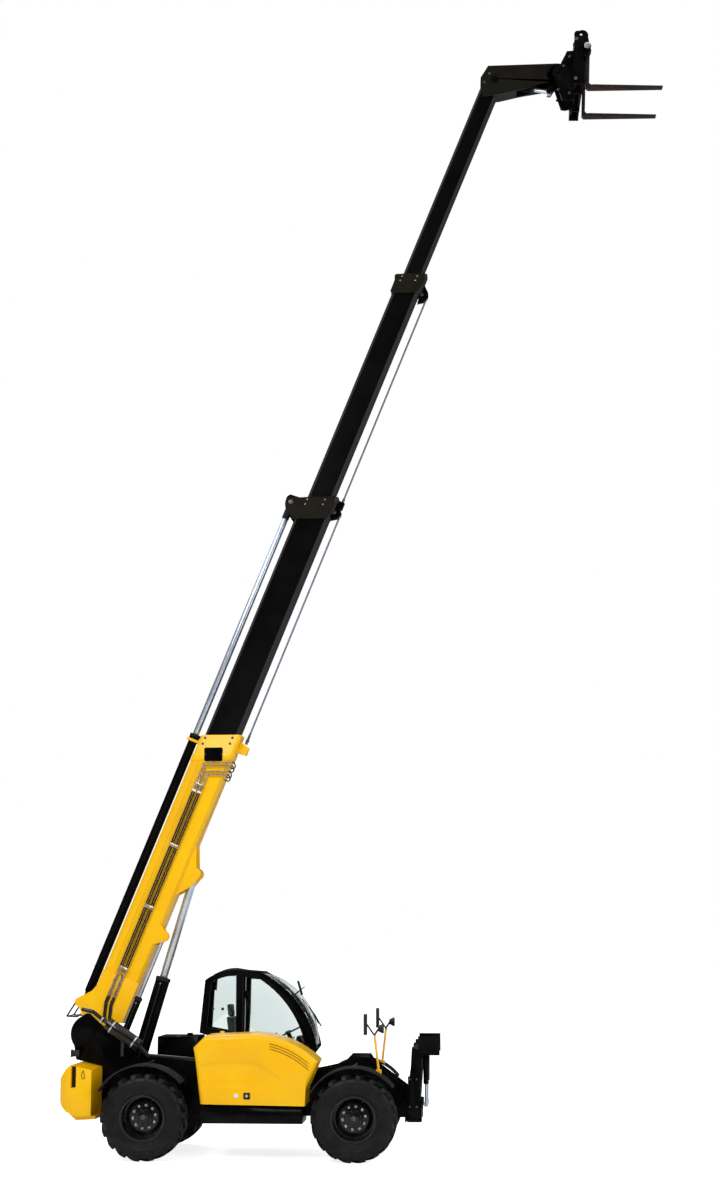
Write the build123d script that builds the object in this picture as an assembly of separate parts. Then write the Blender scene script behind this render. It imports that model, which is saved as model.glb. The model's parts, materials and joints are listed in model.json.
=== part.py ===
from build123d import *
import math
import os

os.makedirs("parts", exist_ok=True)

# A four-section telescopic handler, boom raised and run out, pallet forks on the head.
# Millimetres and degrees. Points are worked out in a machine frame: X forward from the rear
# axle, Y to the left, Z up from the ground. write_parts() moves X so that the origin is
# under the middle of the whole machine.

# ---- Wheels, axles and steering
WHEELBASE = 3050
TRACK = 2000
TYRE_R = 625
TYRE_HALF_W = 200
CROWN_HALF_W = 150
SIDEWALL_R = 470
LUGS_A_SIDE = 18
LUG_HEIGHT = 44
LUG_SKEW = 13
LUG_HALF_TURN = 2.9
LUG_OVERLAP = 12
LUG_FOOT_R = 505
BEAD_R = 312
RIM_HALF_W = 178
RIM_FLANGE_R = 338
RIM_FLANGE_T = 13
DISC_T = 22
HUB_R = 118
HUB_OUT = 62
HUB_CAP_R = 84
HUB_CAP_OUT = 92
KINGPIN_INSET = 160
KINGPIN_Y = TRACK / 2 - KINGPIN_INSET
KINGPIN_R = 34
KNUCKLE_R = 60
KNUCKLE_HALF_H = 112
SPINDLE_HOUSING_R = 104
SPINDLE_R = 42
AXLE_TUBE_R = 92
DIFF_R = 188
YOKE_HALF_H = 150
YOKE_HALF_X = 64
RUNNING_FIT = 0.1
HUB_GAP = 6

# ---- Chassis
RAIL_IN = 280
RAIL_T = 25
RAIL_FOOT_Z = 740
FLOOR_PLATE_Z = 832
FLOOR_PLATE_T = 20
RAIL_FRONT = WHEELBASE + 740
COUNTER_REAR = -1268
COUNTER_FRONT = -780
COUNTER_HALF_W = 1040
COUNTER_ROUND = 160
BOX_FRONT = WHEELBASE - 750
FRONT_GUARD_R = 712
REAR_GUARD_R = 735
GUARD_T = 14
GUARD_IN, GUARD_OUT = 800, 1195
POST_Y = 860
SHAFT_R = 38
SHAFT_NOSE = 245

# ---- Boom: pivot, angle at rest, and each section's depth, width, tail and head
PIVOT_X = -1000
PIVOT_Z = 1850
PIVOT_PIN_R = 50
BOOM_ANGLE = 68
BOOM_LOW_ANGLE = -1
BOOM_COS, BOOM_SIN = math.cos(math.radians(BOOM_ANGLE)), math.sin(math.radians(BOOM_ANGLE))
AXIS_N = 140
END_SLOPE = 0.40
CORNER = 42
PAD_GAP = 1.0
S1_DEPTH, S1_WIDTH, S1_WALL = 580, 420, 10
S2_DEPTH, S2_WIDTH, S2_WALL = 490, 340, 9
S3_DEPTH, S3_WIDTH, S3_WALL = 390, 270, 8
S4_DEPTH, S4_WIDTH, S4_WALL = 300, 200, 8
S1_TAIL, S1_HEAD = 250, 4860
TAIL_BAR_R = 12
S2_TAIL, S2_HEAD = 4150, 8890
S3_TAIL, S3_HEAD = 8200, 12790
S4_TAIL, S4_HEAD = 12150, 16150
TRAVEL_2 = 3650
TRAVEL_3 = 3450
TRAVEL_4 = 3080
EXT_N = -270
EXT_BARREL_R = 70
EXT_GLAND_R = 82
EXT_ROD_R = 50
EXT_PIN_U = 300
EXT_BARREL_END = S1_HEAD - 160
EXT_ROD_END = S2_HEAD - 190
CABLE_R = 16
PIPE_Y = -247
PIPE_R = 10
PULLEY_2 = (S2_HEAD - 120, AXIS_N + S2_DEPTH / 2 + 35)
PULLEY_2_R = 84
PULLEY_3 = (S3_HEAD - 200, AXIS_N + S3_DEPTH / 2 + 35)
PULLEY_3_R = 74

# ---- Cylinders: lever pin on the boom in boom coordinates (u, n), base pin on the chassis
LIFT_PIN_UN = (2750, 548)
LIFT_BASE = (-380, 1050)
LEVEL_PIN_UN = (1705, 502)
LEVEL_BASE = (-680, 1280)
LEVEL_Y = -155

# ---- Boom head and fork carriage
HEAD_PIVOT_U = S4_HEAD + 566.4
HEAD_PIVOT_N = 1065.5
HEAD_X = PIVOT_X + HEAD_PIVOT_U * BOOM_COS + HEAD_PIVOT_N * BOOM_SIN
HEAD_Z = PIVOT_Z + HEAD_PIVOT_U * BOOM_SIN - HEAD_PIVOT_N * BOOM_COS
HEAD_PIVOT = (HEAD_X, HEAD_Z)
HEAD_PLATE_T = 30
HEAD_HALF_W = S4_WIDTH / 2 + HEAD_PLATE_T
TILT_BASE = (HEAD_X - 1000, HEAD_Z - 70)
TILT_EYE = (HEAD_X - 130, HEAD_Z - 250)
TILT_BARREL_R = 58
HITCH_PIN_R = 40
FORK_DROOP = 2
FORK_Y = 450
FORK_LENGTH = 1150
FORK_W = 120
FORK_T = 50
FORK_HEEL_X = HEAD_X + 485
FORK_BOTTOM_Z = HEAD_Z - 450
FORK_BAR = (HEAD_X + 440, HEAD_Z + 180)
FORK_BAR_R = 45
CARRIAGE_BAR_R = 34
CARRIAGE_HALF_W = 600
HITCH_IN = HEAD_HALF_W + 12
HITCH_T = 32
LIFT_HOLE = (HEAD_X + 340, HEAD_Z + 395)
LIFT_HOLE_R = 22

# ---- Stabilisers
BEAM_T = 195
CLEVIS_T = 22
CLEVIS_GAP = 5
STAB_REAR = RAIL_FRONT
STAB_FRONT = RAIL_FRONT + BEAM_T
STAB_PIVOT_Y = 420
STAB_PIVOT_Z = 600
STAB_PIN_R = 30
STAB_LOBE_R = 75
STAB_SWING = 120
STAB_SOLE = 590
STAB_RAM_X = STAB_FRONT + 90
STAB_RAM_TOP = (450, 1450)
STAB_RAM_EYE = (240, 760)

# ---- Cab and engine hood
CAB_FRONT = WHEELBASE - 750
CAB_REAR = 580
CAB_DRAWN_LENGTH = 1720
CAB_IN = 345
CAB_OUT = 1165
CAB_POST = 45
GLASS_T = 8
STEER_R = 180
STEER_TUBE_R = 13
GLASS_BULGE = 85
ROOF_BULGE = 30
PANEL_T = 25
HOOD_FRONT = WHEELBASE - 705
HOOD_OUT = -1150
HOOD_ROUND = 80
HOOD_IN = -384
HOOD_HINGE = (-366, 1800)
HOOD_PIN_R = 12
HOOD_KNUCKLES = (1040, 1560)
DOOR_HINGE = (CAB_REAR + 628 * (CAB_FRONT - CAB_REAR) / CAB_DRAWN_LENGTH, 1186)
DOOR_PIN_R = 8
DOOR_KNUCKLES = (1200, 2300)
DOOR_T = 40
DOOR_GAP = 6

AXLE_Z = TYRE_R


# ---- Small tools for shapes
def at(x, y, z):
    return Vector(x, y, z)


def face_xz(steps, y=0):
    """A face in an XZ plane. A step is a point, or (via, end) for an arc."""
    edges = []
    here = steps[0]
    for step in steps[1:] + [steps[0]]:
        if isinstance(step[0], tuple):
            via, end = step
            edges.append(Edge.make_three_point_arc(
                at(here[0], y, here[1]), at(via[0], y, via[1]), at(end[0], y, end[1])))
            here = end
        elif step != here:
            edges.append(Edge.make_line(at(here[0], y, here[1]), at(step[0], y, step[1])))
            here = step
    return Face(Wire(edges))


def plate(steps, y0, y1):
    """An XZ outline, thick from y0 to y1."""
    return Solid.extrude(face_xz(steps, y0), Vector(0, y1 - y0, 0))


def block(x0, x1, y0, y1, z0, z1):
    corner = Plane(origin=(min(x0, x1), min(y0, y1), min(z0, z1)))
    return Solid.make_box(abs(x1 - x0), abs(y1 - y0), abs(z1 - z0), corner)


def round_bar(start, end, radius):
    start, end = Vector(*start), Vector(*end)
    way = end - start
    return Solid.make_cylinder(radius, way.length, Plane(origin=start, z_dir=way))


def cross_bar(x, z, y0, y1, radius):
    return round_bar((x, min(y0, y1), z), (x, max(y0, y1), z), radius)


def turned(profile, x, z, y=0, side=1):
    """A profile of (outward, radius) points turned about a crosswise axis."""
    ring = Face(Wire.make_polygon([at(0, side * out, r) for out, r in profile], close=True))
    return Solid.revolve(ring, 360, Axis((0, 0, 0), (0, 1, 0))).moved(Location((x, y, z)))


def joined(first, *others):
    return first.fuse(*others)


def on_boom(shape):
    """From boom coordinates (u along, y, h up = -n) to the machine at rest."""
    return shape.moved(Location((PIVOT_X, 0, PIVOT_Z), (0, -BOOM_ANGLE, 0)))


def boom_point(u, n, angle=BOOM_ANGLE):
    c, s = math.cos(math.radians(angle)), math.sin(math.radians(angle))
    return PIVOT_X + u * c + n * s, PIVOT_Z + u * s - n * c


def boom_plate(steps_un, y0, y1):
    def flip(step):
        return tuple(flip(p) for p in step) if isinstance(step[0], tuple) else (step[0], -step[1])
    return plate([flip(step) for step in steps_un], y0, y1)


def box_section(u0, u1, depth, width):
    """A box beam with chamfered corners; its head end is cut along END_SLOPE."""
    low, high = -AXIS_N - depth / 2, -AXIS_N + depth / 2
    half, c = width / 2, min(CORNER, width / 5)
    ring = [(half, low + c), (half, high - c), (half - c, high), (c - half, high),
            (-half, high - c), (-half, low + c), (c - half, low), (half - c, low)]
    over = END_SLOPE * depth / 2
    beam = Solid.extrude(
        Face(Wire.make_polygon([at(u0, y, h) for y, h in ring], close=True)),
        Vector(u1 + over - u0, 0, 0))
    keep = plate([(u0, low), (u1 + over, low), (u1 - over, high), (u0, high)], -half, half)
    return beam & keep


def tube_section(u0, u1, depth, width, wall):
    inner = box_section(u0 - 50, u1 + 50, depth - 2 * wall, width - 2 * wall)
    return box_section(u0, u1, depth, width) - inner


def collar(u0, u1, outer_depth, outer_width, hole_depth, hole_width):
    """A ring round a section, both ends along END_SLOPE."""
    whole = box_section(u0 - outer_depth, u1, outer_depth, outer_width)
    behind = box_section(u0 - outer_depth - 50, u0, outer_depth + 2, outer_width + 2)
    hole = box_section(u0 - outer_depth - 80, u1 + 80, hole_depth, hole_width)
    return whole - behind - hole


# ---- Wheels
def around(radius, turn, out, side):
    """A point of a wheel at a radius, a turn from +X towards +Z, and a distance outward."""
    return at(radius * math.cos(math.radians(turn)), side * out, radius * math.sin(math.radians(turn)))


def flat_ring(profile, count, side=1):
    """A ring of flats about the Y axis. The profile's (outward, radius) points are its flats' middles."""
    flat = 360 / count
    spread = 1 / math.cos(math.radians(flat / 2))
    faces = []
    for k in range(count):
        turn = 270 + (k - 0.5) * flat
        for (out_a, r_a), (out_b, r_b) in zip(profile, profile[1:] + profile[:1]):
            corners = [around(r_a * spread, turn, out_a, side), around(r_b * spread, turn, out_b, side),
                       around(r_b * spread, turn + flat, out_b, side),
                       around(r_a * spread, turn + flat, out_a, side)]
            faces.append(Face(Wire.make_polygon(corners, close=True)))
    return Solid(Shell(faces))


def lug(turn, side, hand):
    """One slanted bar of the tread, from just past the middle to the shoulder. Its inner end leads."""
    wide = LUG_HALF_TURN
    flat_r = TYRE_R / math.cos(math.radians(wide))
    section = [(-LUG_OVERLAP, TYRE_R - LUG_HEIGHT - 20, LUG_SKEW, wide),
               (-LUG_OVERLAP, flat_r, LUG_SKEW, wide),
               (CROWN_HALF_W, TYRE_R - 2, 0, wide + 0.9),
               (TYRE_HALF_W, LUG_FOOT_R, 0, wide + 0.9)]
    back = [around(r, turn - ahead - w, hand * out, side) for out, r, ahead, w in section]
    front = [around(r, turn - ahead + w, hand * out, side) for out, r, ahead, w in section]
    rings = [[back[0], back[1], back[2]], [back[0], back[2], back[3]],
             [front[0], front[2], front[1]], [front[0], front[3], front[2]]]
    for i in range(4):
        j = (i + 1) % 4
        rings += [[back[i], front[i], front[j]], [back[i], front[j], back[j]]]
    return Solid(Shell([Face(Wire.make_polygon(ring, close=True)) for ring in rings]))


def tyre(side):
    """A tyre at the wheel's own centre. One lug's inner end lies flat at the very bottom."""
    seat_out = RIM_HALF_W - RIM_FLANGE_T
    half = [(seat_out, BEAD_R), (seat_out, RIM_FLANGE_R + 2), (TYRE_HALF_W - 2, SIDEWALL_R),
            (CROWN_HALF_W, TYRE_R - LUG_HEIGHT)]
    casing = flat_ring(half + [(-out, r) for out, r in reversed(half)], LUGS_A_SIDE, side)
    pitch = 360 / LUGS_A_SIDE
    bars = [lug(270 + LUG_SKEW + (k + (0 if hand > 0 else 0.5)) * pitch, side, hand)
            for hand in (1, -1) for k in range(LUGS_A_SIDE)]
    return joined(casing, *bars)


def wheel(x, side):
    bead = BEAD_R - RUNNING_FIT
    well = bead - 12
    rim = [(-RIM_HALF_W, RIM_FLANGE_R), (-RIM_HALF_W, well), (-70, well), (-62, 262), (-DISC_T, 205),
           (-DISC_T, HUB_R), (-40, HUB_R), (-40, SPINDLE_R + RUNNING_FIT),
           (20, SPINDLE_R + RUNNING_FIT), (20, 0), (HUB_CAP_OUT, 0), (HUB_CAP_OUT, HUB_CAP_R),
           (HUB_OUT, HUB_CAP_R + 8), (HUB_OUT, HUB_R), (0, HUB_R + 4), (0, 212), (-40, 270), (-40, well),
           (RIM_HALF_W, well), (RIM_HALF_W, RIM_FLANGE_R),
           (RIM_HALF_W - RIM_FLANGE_T, RIM_FLANGE_R), (RIM_HALF_W - RIM_FLANGE_T, bead),
           (RIM_FLANGE_T - RIM_HALF_W, bead), (RIM_FLANGE_T - RIM_HALF_W, RIM_FLANGE_R)]
    return turned(rim, x, AXLE_Z, side * TRACK / 2, side)


def knuckle(x, side):
    hub_face = TRACK / 2 - 40 - HUB_GAP
    post = round_bar((x, side * KINGPIN_Y, AXLE_Z - KNUCKLE_HALF_H),
                     (x, side * KINGPIN_Y, AXLE_Z + KNUCKLE_HALF_H), KNUCKLE_R)
    housing = cross_bar(x, AXLE_Z, side * KINGPIN_Y, side * hub_face, SPINDLE_HOUSING_R)
    spindle = cross_bar(x, AXLE_Z, side * KINGPIN_Y, side * (TRACK / 2 + 12), SPINDLE_R)
    bore = round_bar((x, side * KINGPIN_Y, AXLE_Z - 200), (x, side * KINGPIN_Y, AXLE_Z + 200),
                     KINGPIN_R + RUNNING_FIT)
    return joined(post, housing, spindle) - bore


def axle(x, ahead):
    tube_end = KINGPIN_Y - 140
    half = [(0, DIFF_R), (110, DIFF_R - 6), (200, 120), (250, AXLE_TUBE_R), (tube_end, AXLE_TUBE_R)]
    profile = [(-tube_end, 0)] + [(-y, r) for y, r in reversed(half[1:])] + half + [(tube_end, 0)]
    parts = [turned(profile, x, AXLE_Z),
             round_bar((x, 0, AXLE_Z), (x + ahead * SHAFT_NOSE, 0, AXLE_Z), 82)]
    for side in (-1, 1):
        web_in, web_out = side * (tube_end - 10), side * (KINGPIN_Y - KNUCKLE_R - 12)
        ear_out = side * (KINGPIN_Y + YOKE_HALF_X)
        parts.append(block(x - YOKE_HALF_X, x + YOKE_HALF_X, web_in, web_out,
                           AXLE_Z - YOKE_HALF_H, AXLE_Z + YOKE_HALF_H))
        for up in (-1, 1):
            parts.append(block(x - YOKE_HALF_X, x + YOKE_HALF_X, web_in, ear_out,
                               AXLE_Z + up * (KNUCKLE_HALF_H + 6), AXLE_Z + up * YOKE_HALF_H))
        parts.append(round_bar((x, side * KINGPIN_Y, AXLE_Z - YOKE_HALF_H),
                               (x, side * KINGPIN_Y, AXLE_Z + YOKE_HALF_H), KINGPIN_R))
        parts.append(block(x - 110, x + 110, side * (RAIL_IN - 25), side * (RAIL_IN + RAIL_T + 25),
                           AXLE_Z, RAIL_FOOT_Z))
    return joined(*parts)


# ---- Chassis
def rail_outline():
    front = WHEELBASE
    return [(COUNTER_FRONT, 640), (-340, 640), (-240, RAIL_FOOT_Z), (240, RAIL_FOOT_Z),
            (340, 580), (front - 380, 580), (front - 240, RAIL_FOOT_Z),
            (front + 240, RAIL_FOOT_Z), (front + 340, 570), (RAIL_FRONT, 570), (RAIL_FRONT, 1000),
            (front + 230, 1380), (front + 180, 1465), (front - 100, 1465), (front - 220, 1330),
            (front - 600, 1250), (900, 1250),
            (800, 1400), (-230, 1400), (-940, 2030), ((-1010, 2075), (-1085, 2040)),
            ((-1260, 1850), (-1215, 1600)), (-1180, 1390), (COUNTER_FRONT, 1300)]


def main_frame():
    parts = []
    for side in (-1, 1):
        parts.append(plate(rail_outline(), side * RAIL_IN, side * (RAIL_IN + RAIL_T)))
        # a boss round the boom's pivot pin, outside each rail
        parts.append(cross_bar(PIVOT_X, PIVOT_Z, side * (RAIL_IN + RAIL_T), side * (RAIL_IN + 50), 110))
    parts.append(block(COUNTER_FRONT, STAB_REAR, -RAIL_IN, RAIL_IN,
                       FLOOR_PLATE_Z, FLOOR_PLATE_Z + FLOOR_PLATE_T))
    parts.append(cross_bar(PIVOT_X, PIVOT_Z, -RAIL_IN - 60, RAIL_IN + 60, PIVOT_PIN_R))
    parts.append(cross_bar(LIFT_BASE[0], LIFT_BASE[1], -RAIL_IN - 50, RAIL_IN + 50, 50))
    parts.append(cross_bar(LEVEL_BASE[0], LEVEL_BASE[1], -RAIL_IN - 45, LEVEL_Y + 75, 28))
    # front crossbeam with a clevis and pin for each stabiliser
    parts.append(block(STAB_REAR, STAB_FRONT, -335, 335, 500, 800))
    back_plate = STAB_REAR - CLEVIS_GAP - CLEVIS_T
    front_plate = STAB_FRONT + CLEVIS_GAP
    for side in (-1, 1):
        for x0 in (back_plate, front_plate):
            parts.append(block(x0, x0 + CLEVIS_T, side * 250, side * 490, 520, 780))
        parts.append(round_bar((back_plate, side * STAB_PIVOT_Y, STAB_PIVOT_Z),
                               (front_plate + CLEVIS_T, side * STAB_PIVOT_Y, STAB_PIVOT_Z), STAB_PIN_R))
        parts.append(block(STAB_FRONT, STAB_FRONT + 45, side * 190, side * 290, 700, 820))
    parts.append(block(back_plate, front_plate, -335, 335, 520, 780))
    return joined(*parts)


def counterweight():
    """A thick casting with rounded rear corners, a slot down each side and a narrower foot."""
    side_view = [(COUNTER_FRONT, 631), (-1008, 623), (-1154, 696), (COUNTER_REAR + 57, 753),
                 ((COUNTER_REAR + 12, 830), (COUNTER_REAR, 932)), (COUNTER_REAR, 1127),
                 (COUNTER_REAR + 33, 1192), (-1154, 1306), (-1089, 1360), (COUNTER_FRONT, 1285)]
    body = plate(side_view, -COUNTER_HALF_W, COUNTER_HALF_W)
    half, rear, r = COUNTER_HALF_W, COUNTER_REAR, COUNTER_ROUND
    mid = r * (1 - math.sqrt(0.5))
    edges = [Edge.make_line(at(COUNTER_FRONT, -half, 500), at(rear + r, -half, 500)),
             Edge.make_three_point_arc(at(rear + r, -half, 500), at(rear + mid, mid - half, 500),
                                       at(rear, r - half, 500)),
             Edge.make_line(at(rear, r - half, 500), at(rear, half - r, 500)),
             Edge.make_three_point_arc(at(rear, half - r, 500), at(rear + mid, half - mid, 500),
                                       at(rear + r, half, 500)),
             Edge.make_line(at(rear + r, half, 500), at(COUNTER_FRONT, half, 500)),
             Edge.make_line(at(COUNTER_FRONT, half, 500), at(COUNTER_FRONT, -half, 500))]
    body = body & Solid.extrude(Face(Wire(edges)), Vector(0, 0, 1000))
    for side in (-1, 1):
        body = body - block(-1084, -1006, side * (half - 70), side * (half + 5), 1030, 1400)
    foot = plate([(-1180, 722), (-1008, 566), (-725, 582), (-725, 628), (-900, 640), (-1100, 690)],
                 60 - half, half - 60)
    return joined(body, foot)


def belly_box():
    box = block(830, BOX_FRONT, -1100, -(RAIL_IN + RAIL_T), 530, 790)
    # its lower outer edge is cut back
    cut = [at(820, -1101, 529), at(820, -960, 529), at(820, -1101, 640)]
    return box - Solid.extrude(Face(Wire.make_polygon(cut, close=True)), Vector(WHEELBASE, 0, 0))


def driveline():
    """Gearbox under the floor plate and a shaft to each axle."""
    mid = WHEELBASE / 2
    parts = [block(mid - 210, mid + 210, -150, 150, 540, 760),
             block(mid - 150, mid + 150, -110, 110, 760, FLOOR_PLATE_Z)]
    for far, way in ((0, 1), (WHEELBASE, -1)):
        yoke = far + way * SHAFT_NOSE
        parts.append(round_bar((yoke, 0, AXLE_Z), (mid - way * 200, 0, AXLE_Z), SHAFT_R))
        parts.append(round_bar((yoke, 0, AXLE_Z), (yoke + way * 60, 0, AXLE_Z), 66))
        parts.append(round_bar((mid - way * 290, 0, AXLE_Z), (mid - way * 200, 0, AXLE_Z), 66))
    return joined(*parts)


def step_box():
    """A box under the cab door with two steps let into its outer face."""
    box = block(880, BOX_FRONT - 60, RAIL_IN + RAIL_T, 1060, 560, 880)
    for low in (600, 745):
        box = box - block(1320, 1900, 960, 1065, low, low + 110)
    return box


def engine_block():
    front = WHEELBASE - 850
    return joined(block(980, front - 50, -960, -460, 790, 900), block(930, front, -1040, -420, 900, 1480))


def engine_bulkhead():
    wall = block(840, HOOD_FRONT - 15, -(RAIL_IN + RAIL_T + 35), -(RAIL_IN + RAIL_T), 1000, 1640)
    y, z = HOOD_HINGE
    parts = [wall]
    for x in HOOD_KNUCKLES:
        parts.append(round_bar((x - 60, y, z), (x + 60, y, z), HOOD_PIN_R))
        for x0 in (x - 60, x + 34):
            parts.append(plate([(x0, 1560), (x0 + 26, 1560), (x0 + 26, z - 2), (x0, z - 2)], -340, -325))
            parts.append(block(x0, x0 + 26, -340, y, z - 12, z + 12))
            parts.append(round_bar((x0, y, z), (x0 + 26, y, z), HOOD_PIN_R + 4))
    return joined(*parts)


def hydraulic_tank():
    low = block(40, 560, RAIL_IN + RAIL_T, 470, 900, 1420)
    filler = round_bar((400, 560, 1690), (400, 560, 1745), 45)
    return joined(low, block(-60, 560, RAIL_IN + RAIL_T, 1000, 1420, 1700), filler)


def exhaust():
    can = round_bar((-650, -600, 1940), (-170, -600, 1610), 100)
    pipe = round_bar((-200, -600, 1630), (-30, -600, 1470), 32)
    along = round_bar((-30, -600, 1470), (735, -600, 1410), 32)
    elbow = Solid.make_sphere(32, Plane(origin=(-30, -600, 1470)))
    tail = round_bar((-640, -600, 1935), (-870, -600, 2110), 30)
    mouth = round_bar((-870, -600, 2110), (-1040, -600, 2150), 30)
    tail_elbow = Solid.make_sphere(30, Plane(origin=(-870, -600, 2110)))
    strap = block(-440, -400, -615, -(RAIL_IN + RAIL_T), 1460, 1500)
    prop = block(-440, -400, -615, -585, 1460, 1790)
    return joined(can, pipe, along, elbow, tail, mouth, tail_elbow, strap, prop)


def mudguard(x, side, start, end, radius, thick=GUARD_T):
    """An arc strip over a wheel, from start to end degrees, with ribs and its stay to the rail."""
    def rim(r, a):
        return x + r * math.cos(math.radians(a)), AXLE_Z + r * math.sin(math.radians(a))
    mid = (start + end) / 2

    def strip(inner, outer, y0, y1):
        return plate([rim(inner, start), (rim(inner, mid), rim(inner, end)),
                      rim(outer, end), (rim(outer, mid), rim(outer, start))], side * y0, side * y1)
    parts = [strip(radius, radius + thick, GUARD_IN, GUARD_OUT)]
    for y in (GUARD_IN, 930, 1020, 1110, GUARD_OUT - 15):
        parts.append(strip(radius + thick - 1, radius + thick + 8, y, y + 15))
    stay_z = AXLE_Z + radius + thick / 2
    parts.append(cross_bar(x, stay_z, side * (RAIL_IN + RAIL_T), side * 1150, 20))
    return joined(*parts)


def mirror_post(side, foot, top):
    """A post on the front guard, with a stem and an arm that end at the lamp and the mirror."""
    y = side * POST_Y
    post = round_bar((foot[0], y, foot[1]), (top[0], y, top[1]), 17)
    stem = round_bar((top[0], y, top[1]), (top[0] + 60, y, top[1] + 90), 14)
    arm = round_bar((top[0], y, top[1] - 12), (top[0] - 112, y, top[1] + 150), 12)
    base = block(foot[0] - 40, foot[0] + 40, y - 35, y + 35, 1190, foot[1] + 20)
    base = base - cross_bar(WHEELBASE, AXLE_Z, -1200, 1200, FRONT_GUARD_R + GUARD_T)
    return joined(post, stem, arm, base) - front_lamp(side, top) - mirror(side, top)


def front_lamp(side, top):
    """A lamp's cup, its open end ahead."""
    x, y, z = top[0] + 50, side * POST_Y, top[1] + 90
    ahead = Plane(origin=(x, y, z), z_dir=(1, 0, 0))
    cup = Solid.make_cone(38, 64, 55, ahead)
    return joined(cup, round_bar((x + 55, y, z), (x + 84, y, z), 68))


def rear_lamp(side):
    """A lamp block on the tower's outer face, with a thicker rim behind."""
    y = side * (RAIL_IN + RAIL_T)
    return joined(block(-1225, -1120, y, y + side * 95, 1440, 1530),
                  block(-1240, -1225, y + side * 8, y + side * 105, 1430, 1540))


def mirror(side, top):
    """A tall mirror: a shell with rounded corners, upright and facing the cab."""
    x, y, z = top[0] - 110, side * 880, top[1]
    half_w, high, r = 88, 300, 40
    c = r * (1 - math.sqrt(0.5))
    edges = []
    corners = [(-half_w, 0, 1, 1), (half_w, 0, -1, 1), (half_w, high, -1, -1), (-half_w, high, 1, -1)]
    marks = []
    for dy, dz, in_y, in_z in corners:
        along_z = (dy, dz + in_z * r)
        along_y = (dy + in_y * r, dz)
        via = (dy + in_y * c, dz + in_z * c)
        marks.append((along_z, via, along_y) if in_y == in_z else (along_y, via, along_z))
    for k, (first, via, last) in enumerate(marks):
        following = marks[(k + 1) % 4][0]
        points = [at(x, y + dy, z + dz) for dy, dz in (first, via, last, following)]
        edges.append(Edge.make_three_point_arc(points[0], points[1], points[2]))
        edges.append(Edge.make_line(points[2], points[3]))
    return Solid.extrude(Face(Wire(edges)), Vector(-42, 0, 0))


# ---- Engine hood
def hood_outline(inset):
    """Closed outline from the lower rear corner round the front and over the top."""
    i, front = inset, HOOD_FRONT
    return [(830 + i, 822 - 4 * i), (front - i, 800 - 4 * i), (front + 15 - i, 1030),
            (front + 190 - 1.4 * i, 1425), ((front - 155 - i, 1668 - i), (1550, 1820 - i)),
            (890 + i, 1790 - i), (720 + i, 1620), (750 + i, 1445)]


def rounded_shoulder(solid, y, radius):
    """Round the edges along the hood's top and its two ends, at its outer face."""
    edges = [e for e in solid.edges()
             if abs(e.center().Y - y) < 1 and abs(e.bounding_box().size.Y) < 1 and e.center().Z > 1200]
    return solid.fillet(radius, edges)


def hood_slot(drop, width):
    """A narrow slot in the side, parallel to the front part of the top."""
    front = HOOD_FRONT
    (xa, za), (xb, zb), (xc, zc) = (front + 190, 1425), (front - 155, 1668), (1550, 1820)
    # circle through the top's three points
    d = 2 * (xa * (zb - zc) + xb * (zc - za) + xc * (za - zb))
    ra, rb, rc = xa ** 2 + za ** 2, xb ** 2 + zb ** 2, xc ** 2 + zc ** 2
    cx = (ra * (zb - zc) + rb * (zc - za) + rc * (za - zb)) / d
    cz = (ra * (xc - xb) + rb * (xa - xc) + rc * (xb - xa)) / d
    top_r = math.hypot(xa - cx, za - cz)
    first, last = front - 515, front + 70

    def on(r, x):
        return x, cz + math.sqrt(r ** 2 - (x - cx) ** 2)
    upper, lower, mid = top_r - drop, top_r - drop - width, (first + last) / 2
    ring = [on(upper, first), (on(upper, mid), on(upper, last)),
            on(lower, last), (on(lower, mid), on(lower, first))]
    return plate(ring, HOOD_OUT - 5, HOOD_OUT + 14)


def hood():
    shell = rounded_shoulder(plate(hood_outline(0), HOOD_OUT, HOOD_IN), HOOD_OUT, HOOD_ROUND)
    hollow = plate(hood_outline(PANEL_T), HOOD_OUT + PANEL_T, HOOD_IN + 20)
    shell = shell - rounded_shoulder(hollow, HOOD_OUT + PANEL_T, HOOD_ROUND - PANEL_T)
    # a shallow pressed panel, and three slots under the front shoulder
    pressed = [(790, 1360), ((1304, 1418), (1706, 1375)), (HOOD_FRONT - 337, 1188), (HOOD_FRONT - 395, 1001),
               ((1419, 1095), (830, 1088))]
    shell = shell - plate(pressed, HOOD_OUT - 5, HOOD_OUT + 8)
    for drop in (100, 136, 172):
        shell = shell - hood_slot(drop, 14)
    y, z = HOOD_HINGE
    for x in HOOD_KNUCKLES:
        ring = round_bar((x - 30, y, z), (x + 30, y, z), HOOD_PIN_R + 10)
        web = block(x - 30, x + 30, HOOD_IN - 20, y, z - 14, z + 4)
        shell = joined(shell, ring, web) - round_bar((x - 70, y, z), (x + 70, y, z),
                                                     HOOD_PIN_R + RUNNING_FIT)
    return shell


# ---- Cab
def cab_x(x):
    """A place along the cab as drawn at its usual length, moved as the cab grows or shrinks."""
    return CAB_REAR + (x - CAB_REAR) * (CAB_FRONT - CAB_REAR) / CAB_DRAWN_LENGTH


def roof_line():
    """From the cab's rear upper corner to the top of the windscreen."""
    return [(cab_x(660), 2560), ((cab_x(860), 2668), (cab_x(1125), 2710)), (CAB_FRONT - 760, 2670)]


def cab_front_line():
    """From the top of the windscreen down to its foot."""
    return ((CAB_FRONT - 190, 2200), (CAB_FRONT + 95, 1530))


def cab_side_outline():
    return [(580, 1755)] + roof_line() + [cab_front_line(), (CAB_FRONT + 10, 1475)]


def door_outline(inset):
    i, front = inset, CAB_FRONT
    rear = cab_x(1212) + i
    return [(rear, 975 + i), (front - 50 - i, 975 + i), (front - 30 - i, 1520),
            ((front - 310 - 0.8 * i, 2120 - 0.6 * i), (front - 800, 2580 - i)), (rear, 2610 - i)]


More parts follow.
